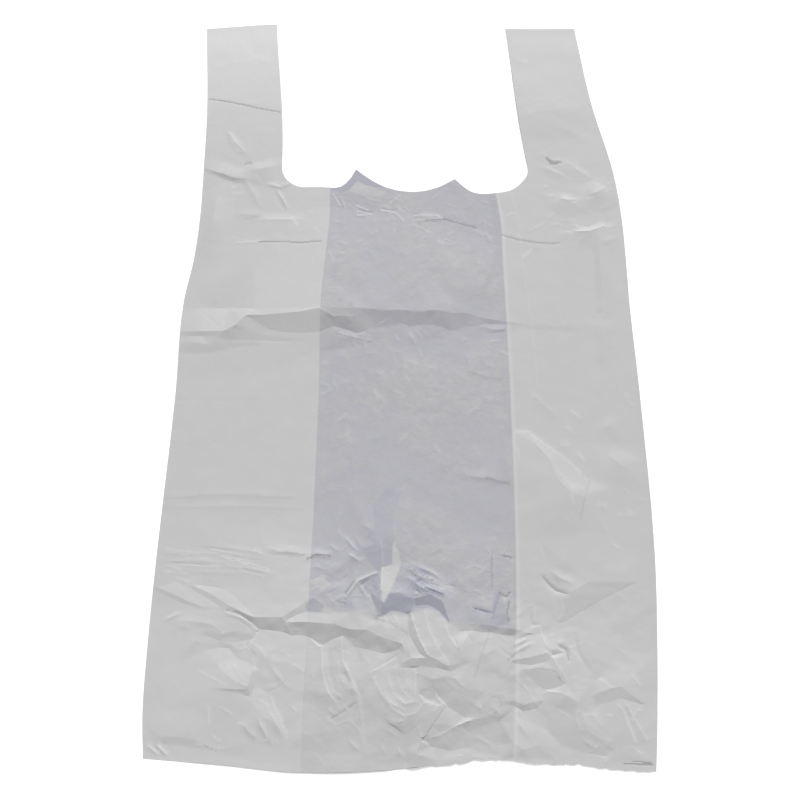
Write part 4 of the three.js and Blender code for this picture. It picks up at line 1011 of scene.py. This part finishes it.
def spread(marks, steps):
    """Places through all the marks, evenly spaced between each pair"""
    places = [np.array(marks[:1], float)]
    for near, far, step in zip(marks, marks[1:], steps):
        count = max(1, round(abs(far - near) / step))
        places.append(np.linspace(near, far, count + 1)[1:])
    return np.concatenate(places)


def banded(bands, every):
    """Places of the rows of several bands, each band with its end and its number of rows"""
    marks = [end for end, _ in bands]
    steps = [(far - near) * every / count for near, (far, count) in zip(marks, bands[1:])]
    return spread(marks, steps)


def corner_marks(side):
    """Columns from a handle's inner edge inwards, close together where the round corner is steep"""
    return [side * (HANDLE_INNER - inwards) for inwards in (0.0, *CORNER_MARKS)]


def front_columns():
    """Columns of the front, through every place across where its film turns or is cut"""
    marks = (-HALF_WIDTH, *corner_marks(-1), FOLD_LEFT, -CUSP_X, CUSP_X, FOLD_RIGHT, *corner_marks(1)[::-1],
             HALF_WIDTH)
    steps = [MIDDLE_STEP] * (len(marks) - 1)
    steps[0] = steps[-1] = HANDLE_STEP
    return spread(marks, steps)


def under_columns():
    """Columns and levels from the right side fold through the gussets and the back to the left one"""
    left, right = corner_marks(-1), corner_marks(1)
    turns = (
        (HALF_WIDTH, *right, FOLD_RIGHT, 2),
        (FOLD_RIGHT, *right[::-1], HALF_WIDTH, 1),
        (HALF_WIDTH, *right, CUSP_X, -CUSP_X, *left[::-1], -HALF_WIDTH, 0),
        (-HALF_WIDTH, *left, FOLD_LEFT, 1),
        (FOLD_LEFT, *left[::-1], -HALF_WIDTH, 2),
    )
    across = []
    levels = []
    for *marks, level in turns:
        steps = [UNDER_STEP if max(abs(a), abs(b)) > HANDLE_INNER + ON_EDGE else UNDER_CUT_STEP
                 for a, b in zip(marks, marks[1:])]
        places = spread(marks, steps)
        across.append(places)
        levels.append(np.full(len(places), float(level)))
    return np.concatenate(across), np.concatenate(levels)


def film_rows(x, top, every):
    """Flat places up each column: straight rows, rows that follow the cut, rows of the handle"""
    straight = banded(BODY_BANDS, every)
    cut = np.linspace(0, 1, CUT_ROWS // every + 1)[1:]
    handle = banded(HANDLE_BANDS, every)[1:]
    body = np.repeat(straight[:, None], len(x), 1)
    bend = STRAIGHT_TOP + cut[:, None] * (top - STRAIGHT_TOP)[None, :]
    upper = np.repeat(handle[:, None], len(x), 1)
    flat_y = np.concatenate((body, bend, upper))
    width = HANDLE_ROOT + (HANDLE_TIP - HANDLE_ROOT) * smooth(flat_y, HANDLE_START, BAG_LENGTH)
    narrowed = HALF_WIDTH - (HALF_WIDTH - np.abs(x)) * width / HANDLE_ROOT
    on_handle = (flat_y > HANDLE_START) & (np.abs(x) >= HANDLE_INNER - ON_EDGE)
    flat_x = np.where(on_handle, np.sign(x) * narrowed, x)
    return flat_x, flat_y


def add_sheet(bm, sheet, across, every, layers):
    """Add a grid of film, without the faces that the die cut takes out, and number its points"""
    columns = len(across) - 1
    rows = (BODY_ROWS + HANDLE_ROWS) // every
    made = bmesh.ops.create_grid(bm, x_segments=columns, y_segments=rows, size=1.0)
    sheet_layer, column_layer, row_layer = layers
    for vert in made["verts"]:
        vert[sheet_layer] = sheet
        vert[column_layer] = round((vert.co.x + 1) / 2 * columns)
        vert[row_layer] = round((vert.co.y + 1) / 2 * rows)
    cut_out = []
    for face in {face for vert in made["verts"] for face in vert.link_faces}:
        lowest = min(vert[row_layer] for vert in face.verts)
        innermost = min(abs(across[vert[column_layer]]) for vert in face.verts)
        if lowest >= BODY_ROWS // every and innermost < HANDLE_INNER - ON_EDGE:
            cut_out.append(face)
    bmesh.ops.delete(bm, geom=cut_out, context="FACES")


def side_edges(bm, layers, sheet, column):
    """Edges of one sheet along one of its columns"""
    sheet_layer, column_layer, _ = layers
    return [edge for edge in bm.edges
            if all(vert[sheet_layer] == sheet and vert[column_layer] == column for vert in edge.verts)]


def film_grid(front_x, under_x):
    """Both sheets of film joined along their sides, with the layers that number their points"""
    bm = bmesh.new()
    layers = [bm.verts.layers.int.new(name) for name in GRID_LAYERS]
    add_sheet(bm, FRONT, front_x, 1, layers)
    add_sheet(bm, UNDER, under_x, UNDER_EVERY, layers)
    for front_column, under_column in ((len(front_x) - 1, 0), (0, len(under_x) - 1)):
        edges = side_edges(bm, layers, FRONT, front_column) + side_edges(bm, layers, UNDER, under_column)
        bmesh.ops.bridge_loops(bm, edges=edges)
    return bm, layers


def cling_share(x, y):
    """How far the film clings at each place, or stands off below 0"""
    cling = np.zeros(x.shape)
    for share, patch in CLING:
        for aside, up in ((-PATCH_RIM, 0), (PATCH_RIM, 0), (0, -PATCH_RIM), (0, PATCH_RIM)):
            cling[inside(patch, x + aside, y + up)] = share
    return cling


def film_mesh(settings):
    """Build the whole film: a fine front sheet joined along both sides to the layers under it"""
    front_x = front_columns()
    under_x, under_level = under_columns()
    bm, layers = film_grid(front_x, under_x)
    front = film_rows(front_x, body_top(front_x) - FRONT_SLIP * slip_share(front_x), 1)
    *front, whitening_and_highlight, on_run = press(front_x, *front)
    sheet_layer, column_layer, row_layer = layers
    creased = [vert for vert in bm.verts
               if vert[sheet_layer] == FRONT and on_run[vert[row_layer], vert[column_layer]]]
    bmesh.ops.connect_verts(bm, verts=creased)
    under = film_rows(under_x, body_top(under_x), UNDER_EVERY)
    lift = relief(*front, settings.fold_height, settings.crumple_height)
    front_z = layer_height(front_level(front[0]), front[1]) + np.maximum(lift + LINE_RISE * whitening_and_highlight, 0)
    under_z = layer_height(under_level[None, :], under[1])
    sheets = {
        FRONT: (*front, front_z, np.full_like(lift, FRONT_LEVEL), whitening_and_highlight),
        UNDER: (*under, under_z, np.repeat(under_level[None, :], len(under_z), 0), np.zeros_like(under_z)),
    }

    sheet_of, column_of, row_of = np.array([[vert[layer] for layer in layers] for vert in bm.verts]).T
    points = np.empty((len(sheets[FRONT]), len(sheet_of)))
    for sheet, arrays in sheets.items():
        chosen = sheet_of == sheet
        points[:, chosen] = [array[row_of[chosen], column_of[chosen]] for array in arrays]
    flat_x, flat_y, height, level, pressed = points
    laid_x, laid_y = lay(flat_x, flat_y)
    laid_y += torn_edge(flat_x, flat_y, sheet_of)

    mesh = bpy.data.meshes.new("bag_film")
    bm.to_mesh(mesh)
    bm.free()
    for name in GRID_LAYERS:
        mesh.attributes.remove(mesh.attributes[name])
    low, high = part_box(NODE)
    place = np.stack((laid_x, laid_y, height), 1) * MM
    for axis in (0, 1):
        middle = (place[:, axis].min() + place[:, axis].max()) / 2
        place[:, axis] += (low[axis] + high[axis]) / 2 - middle
    mesh.vertices.foreach_set("co", place.ravel())
    wave_y = flat_y + lay_wave(flat_x, flat_y)
    # The pressed lines' tone: whitening with painted highlight above 0, painted crease shade below 0
    values = {
        "across": flat_x * MM, "along": flat_y * MM, "layer": level, "pressed": pressed,
        "loose": contact_share(flat_x, wave_y), "cling": cling_share(flat_x, wave_y),
    }
    for name, value in values.items():
        mesh.attributes.new(name, "FLOAT", "POINT").data.foreach_set("value", value)
    mesh.update()
    return mesh


class Value:
    """A shader socket that can stand in a Python expression"""

    def __init__(self, graph, socket):
        self.graph = graph
        self.socket = socket

    def math(self, operation, first, second):
        return self.graph.node("ShaderNodeMath", {"operation": operation}, {0: first, 1: second})

    def __add__(self, other):
        return self.math("ADD", self, other)

    def __sub__(self, other):
        return self.math("SUBTRACT", self, other)

    def __rsub__(self, other):
        return self.math("SUBTRACT", other, self)

    def __mul__(self, other):
        return self.math("MULTIPLY", self, other)

    __radd__ = __add__
    __rmul__ = __mul__


class Graph:
    """Adds nodes to one material or world"""

    def __init__(self, tree):
        self.tree = tree
        tree.nodes.clear()

    def node(self, kind, settings, sockets, output=0):
        """Add a node, make its settings, then fill or link its sockets"""
        node = self.tree.nodes.new(kind)
        for name, setting in settings.items():
            setattr(node, name, setting)
        for name, value in sockets.items():
            if isinstance(value, Value):
                self.tree.links.new(value.socket, node.inputs[name])
            else:
                node.inputs[name].default_value = value
        return Value(self, node.outputs[output]) if node.outputs else node

    def attribute(self, name):
        return self.node("ShaderNodeAttribute", {"attribute_name": name}, {}, "Fac")

    def ease(self, value, low, high):
        """Ease from 0 at low to 1 at high, which may also lie below low"""
        settings = {"interpolation_type": "SMOOTHSTEP"}
        sockets = {"Value": value, "From Min": low, "From Max": high}
        return self.node("ShaderNodeMapRange", settings, sockets)

    def ease_mm(self, value, low, high):
        """Ease between two places given in millimetres"""
        return self.ease(value, low * MM, high * MM)

    def noise(self, vector, scale, detail):
        sockets = {"Vector": vector, "Scale": scale, "Detail": detail, "Roughness": NOISE_ROUGHNESS}
        return self.node("ShaderNodeTexNoise", {}, sockets)

    def ridge(self, noise):
        """Turn a noise into sharp crests where it crosses its middle"""
        off = noise - NOISE_MIDDLE
        return 1.0 - 2.0 * off.math("ABSOLUTE", off, 0.0)

    def mix(self, share, first, second, blend="MIX"):
        """Mix two colours, whose sockets the node can only tell apart by number"""
        settings = {"data_type": "RGBA", "blend_type": blend}
        factor, colour_a, colour_b, result = 0, 6, 7, 2
        sockets = {factor: share, colour_a: first, colour_b: second}
        return self.node("ShaderNodeMix", settings, sockets, result)

    def looking(self):
        """1 for rays that look at the surroundings: from the camera, off gloss or through glass"""
        seen = self.node("ShaderNodeLightPath", {}, {}, "Is Camera Ray")
        rays = seen.socket.node.outputs
        for name in ("Is Glossy Ray", "Is Transmission Ray"):
            seen = seen.math("MAXIMUM", seen, Value(self, rays[name]))
        return seen

    def grey(self, value):
        """A grey colour of the value's brightness"""
        return self.node("ShaderNodeCombineColor", {}, {"Red": value, "Green": value, "Blue": value})


def film_material(settings):
    """Thin matt film: neutral over the gussets, cooler and darker where only two layers lie"""
    material = bpy.data.materials.new("carrier_film")
    material.use_nodes = True
    graph = Graph(material.node_tree)
    names = ("across", "along", "layer", "loose", "pressed", "cling")
    across, along, layer, loose, pressed, cling = (graph.attribute(name) for name in names)
    place = graph.node("ShaderNodeTexCoord", {}, {}, "Object")
    noise = {name: graph.noise(place, *sizes) for name, sizes in NOISES.items()}
    clouds = noise["clouds"] - NOISE_MIDDLE
    patches = noise["patches"] - NOISE_MIDDLE
    flecks = noise["flecks"] - NOISE_MIDDLE
    worked = graph.ease(noise["worked"], *WORKED_BETWEEN)

    from_left = graph.ease_mm(across, FOLD_LEFT - WINDOW_EDGE, FOLD_LEFT + WINDOW_EDGE)
    from_right = graph.ease_mm(across, FOLD_RIGHT - WINDOW_EDGE, FOLD_RIGHT + WINDOW_EDGE)
    window = from_left * (1 - from_right)
    tinted = window * (1 - loose)
    blotches = noise["flecks"] + (worked - NOISE_MIDDLE) * BLOTCH_SHIFT
    between = graph.mix(graph.ease(blotches, *BLOTCH_BETWEEN), settings.window_tint, settings.warm_tint)
    between = graph.mix(loose, between, settings.loose_tint)
    film = graph.mix(window, settings.side_tint, between)
    film = graph.mix(graph.ease(cling, 0.0, 1.0), film, settings.cling_tint)
    film = graph.mix(graph.ease(cling, 0.0, -1.0), film, settings.side_tint)
    film = graph.mix(graph.ease(layer, *BACK_LEVEL), film, settings.single_tint)

    handle = graph.ease_mm(along, HANDLE_START, BAG_LENGTH)
    shares = {
        # Painted glare: the handles lighter, the left one most
        "handle": handle,
        "left handle": handle * graph.ease_mm(across, 0.0, -HANDLE_INNER),
        # Painted highlight on a narrow strip by the right gusset fold
        "gusset edge": from_right * graph.ease_mm(across, *GUSSET_EDGE),
        "hem": graph.ease_mm(along, *HEM_TONE),
        "loose": loose,
        # Painted shade: the right side a touch darker
        "right side": from_right,
        "window top": window * graph.ease_mm(along, *WINDOW_TOP_TONE),
        "patches": patches,
        "clouds": clouds,
        "window clouds": clouds * tinted,
        "flecks": flecks * tinted * worked,
        # Along the pressed lines: whitening with painted highlights, and below 0 painted shade in the
        # crease
        "whitening_and_highlight": graph.ease(pressed, 0.0, 1.0),
        "shaded": graph.ease(pressed, 0.0, -1.0),
    }
    tone = 1.0
    for name, strength in TONES.items():
        tone = tone + shares[name] * strength
    film = graph.mix(1.0, film, graph.grey(tone), "MULTIPLY")

    foot = tinted * graph.ease_mm(along, *WINDOW_FOOT)
    crinkle = graph.ridge(noise["broad crinkle"]) + FINE_CRINKLE_SHARE * graph.ridge(noise["fine crinkle"])
    crinkle_bump = CRINKLE_BUMP + WORKED_CRINKLE_BUMP * window * worked + FOOT_CRINKLE_BUMP * foot
    height = noise["grain"] * (GRAIN_BUMP + WINDOW_GRAIN_BUMP * window) + crinkle * crinkle_bump
    bump = graph.node("ShaderNodeBump", {}, {
        "Strength": BUMP_STRENGTH, "Distance": BUMP_DISTANCE, "Height": height,
    })
    rough = settings.roughness + patches * ROUGHNESS_SPREAD
    shader = graph.node("ShaderNodeBsdfPrincipled", {}, {
        "Base Color": film, "Roughness": rough, "Normal": bump, "Specular IOR Level": SPECULAR_LEVEL,
    })
    graph.node("ShaderNodeOutputMaterial", {}, {"Surface": shader})
    return material


def floor_material(settings):
    """Pale table top, a touch brighter where it is looked at, so that it reads as white"""
    material = bpy.data.materials.new("table_top")
    material.use_nodes = True
    graph = Graph(material.node_tree)
    sheet = graph.node("ShaderNodeBsdfDiffuse", {}, {"Color": settings.floor_colour})
    strength = graph.looking() * settings.floor_lift
    lift = graph.node("ShaderNodeEmission", {}, {"Color": (1, 1, 1, 1), "Strength": strength})
    both = graph.node("ShaderNodeAddShader", {}, {0: sheet, 1: lift})
    graph.node("ShaderNodeOutputMaterial", {}, {"Surface": both})
    return material


class FilmSettings(bpy.types.PropertyGroup):
    """Sizes and colours of the film"""

    fold_height: bpy.props.FloatProperty(
        name="Fold height", description="Scale of the placed folds", default=1.0, min=0, max=1.5)
    crumple_height: bpy.props.FloatProperty(
        name="Crumple height", description="Scale of the loose crumples", default=1.0, min=0, max=2)
    side_tint: bpy.props.FloatVectorProperty(
        name="Side tint", description="Film over the gussets, four layers thick",
        subtype="COLOR", size=4, min=0, max=1, default=(0.515, 0.515, 0.515, 1))
    window_tint: bpy.props.FloatVectorProperty(
        name="Window tint", description="Film between the gussets, two layers thick",
        subtype="COLOR", size=4, min=0, max=1, default=(0.418, 0.42, 0.456, 1))
    warm_tint: bpy.props.FloatVectorProperty(
        name="Warm tint", description="Warmer blotches between the gussets",
        subtype="COLOR", size=4, min=0, max=1, default=(0.438, 0.436, 0.446, 1))
    loose_tint: bpy.props.FloatVectorProperty(
        name="Loose tint", description="Film between the gussets where it stands off the back",
        subtype="COLOR", size=4, min=0, max=1, default=(0.485, 0.485, 0.485, 1))
    cling_tint: bpy.props.FloatVectorProperty(
        name="Cling tint", description="Film that clings to the layer under it",
        subtype="COLOR", size=4, min=0, max=1, default=(0.355, 0.362, 0.42, 1))
    single_tint: bpy.props.FloatVectorProperty(
        name="Single tint", description="A single layer of film seen at the mouth",
        subtype="COLOR", size=4, min=0, max=1, default=(0.38, 0.385, 0.44, 1))
    roughness: bpy.props.FloatProperty(
        name="Roughness", description="Roughness of the film", subtype="FACTOR", default=0.45, min=0, max=1)


class StageSettings(bpy.types.PropertyGroup):
    """Camera, light and floor"""

    aim: bpy.props.FloatVectorProperty(
        name="Aim", description="Point of the table in the middle of the picture",
        subtype="TRANSLATION", unit="LENGTH", size=3, default=(-0.00277, -0.03288, 0.0))
    distance: bpy.props.FloatProperty(
        name="Distance", description="From the aim to the camera", unit="LENGTH", default=0.921, min=0.3)
    tilt: bpy.props.FloatProperty(
        name="Tilt", description="Angle of the view from straight down",
        subtype="ANGLE", default=math.radians(24.9), min=0, max=math.pi / 2)
    lens: bpy.props.FloatProperty(
        name="Lens", description="Focal length on a sensor 36 mm wide",
        unit="CAMERA", default=64.98, min=10)
    key_power: bpy.props.FloatProperty(
        name="Key light", description="Strength of the large soft lamp", default=3.05, min=0)
    key_size: bpy.props.FloatProperty(
        name="Key size", description="Angle that the lamp fills as seen from the bag",
        subtype="ANGLE", default=math.radians(32), min=0, max=math.pi)
    key_from: bpy.props.FloatVectorProperty(
        name="Key place", description="From the bag towards the lamp",
        subtype="TRANSLATION", unit="LENGTH", size=3, default=(0.12, 1.0, 0.75))
    sky: bpy.props.FloatProperty(
        name="Sky", description="Strength of the even light from all round", default=0.45, min=0)
    floor_colour: bpy.props.FloatVectorProperty(
        name="Floor", description="Colour of the table top",
        subtype="COLOR", size=4, min=0, max=1, default=(0.95, 0.95, 0.95, 1))
    floor_lift: bpy.props.FloatProperty(
        name="Floor lift", description="Brightness that the camera sees on the floor besides its shade",
        default=0.3, min=0, max=1)


class OBJECT_OT_lay_bag_film(bpy.types.Operator):
    """Lay the bag's film, folded and crumpled, in place of its plain solid"""

    bl_idname = "object.lay_bag_film"
    bl_label = "Lay bag film"

    def execute(self, context):
        settings = context.scene.bag_film
        piece = bpy.data.objects.new("bag_film", film_mesh(settings))
        context.scene.collection.objects.link(piece)
        piece.data.materials.append(film_material(settings))
        piece.data.shade_smooth()
        piece.data.set_sharp_from_angle(angle=SHARP_FOLD)
        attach(piece, "root")
        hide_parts(NODE)
        return {"FINISHED"}


class SCENE_OT_set_bag_stage(bpy.types.Operator):
    """Set the pale floor, the soft light and the camera"""

    bl_idname = "scene.set_bag_stage"
    bl_label = "Set bag stage"

    def execute(self, context):
        scene = context.scene
        settings = scene.bag_stage
        aim = Vector(settings.aim)

        bm = bmesh.new()
        bmesh.ops.create_grid(bm, x_segments=FLOOR_CELLS, y_segments=FLOOR_CELLS, size=FLOOR_HALF)
        mesh = bpy.data.meshes.new("floor")
        bm.to_mesh(mesh)
        bm.free()
        floor = bpy.data.objects.new("floor", mesh)
        mesh.materials.append(floor_material(settings))
        scene.collection.objects.link(floor)

        world = bpy.data.worlds.new("studio")
        scene.world = world
        world.use_nodes = True
        graph = Graph(world.node_tree)
        strength = settings.sky + graph.looking() * (1 - settings.sky)
        sky = graph.node("ShaderNodeBackground", {}, {"Color": (1, 1, 1, 1), "Strength": strength})
        graph.node("ShaderNodeOutputWorld", {}, {"Surface": sky})

        lamp = bpy.data.lights.new("key", "SUN")
        lamp.energy = settings.key_power
        lamp.angle = settings.key_size
        key = bpy.data.objects.new("key", lamp)
        key.location = aim + Vector(settings.key_from)
        key.rotation_euler = Vector(settings.key_from).to_track_quat("Z", "Y").to_euler()
        scene.collection.objects.link(key)

        lens = bpy.data.cameras.new("camera")
        lens.sensor_width = SENSOR_WIDTH
        lens.lens = settings.lens
        lens.clip_start = CLIP_START
        camera = bpy.data.objects.new("camera", lens)
        back = settings.distance * math.sin(settings.tilt)
        up = settings.distance * math.cos(settings.tilt)
        camera.location = aim + Vector((0, -back, up))
        camera.rotation_euler = (settings.tilt, 0, 0)
        scene.collection.objects.link(camera)
        scene.camera = camera
        scene.view_settings.view_transform = "Standard"
        return {"FINISHED"}


class VIEW3D_PT_carrier_bag(bpy.types.Panel):
    """Lists the bag's settings and operators"""

    bl_label = "Carrier bag"
    bl_space_type = "VIEW_3D"
    bl_region_type = "UI"
    bl_category = "Carrier bag"

    def draw(self, context):
        scene = context.scene
        for settings, operator in (
            (scene.bag_film, OBJECT_OT_lay_bag_film),
            (scene.bag_stage, SCENE_OT_set_bag_stage),
        ):
            box = self.layout.box()
            for name in settings.__annotations__:
                box.prop(settings, name)
            box.operator(operator.bl_idname)


CLASSES = (
    FilmSettings,
    StageSettings,
    OBJECT_OT_lay_bag_film,
    SCENE_OT_set_bag_stage,
    VIEW3D_PT_carrier_bag,
)


def register():
    for cls in CLASSES:
        bpy.utils.register_class(cls)
    bpy.types.Scene.bag_film = bpy.props.PointerProperty(type=FilmSettings)
    bpy.types.Scene.bag_stage = bpy.props.PointerProperty(type=StageSettings)


def unregister():
    del bpy.types.Scene.bag_stage
    del bpy.types.Scene.bag_film
    for cls in reversed(CLASSES):
        bpy.utils.unregister_class(cls)


def main():
    register()
    bpy.ops.scene.set_bag_stage()
    bpy.ops.object.lay_bag_film()


if __name__ == "__main__":
    main()
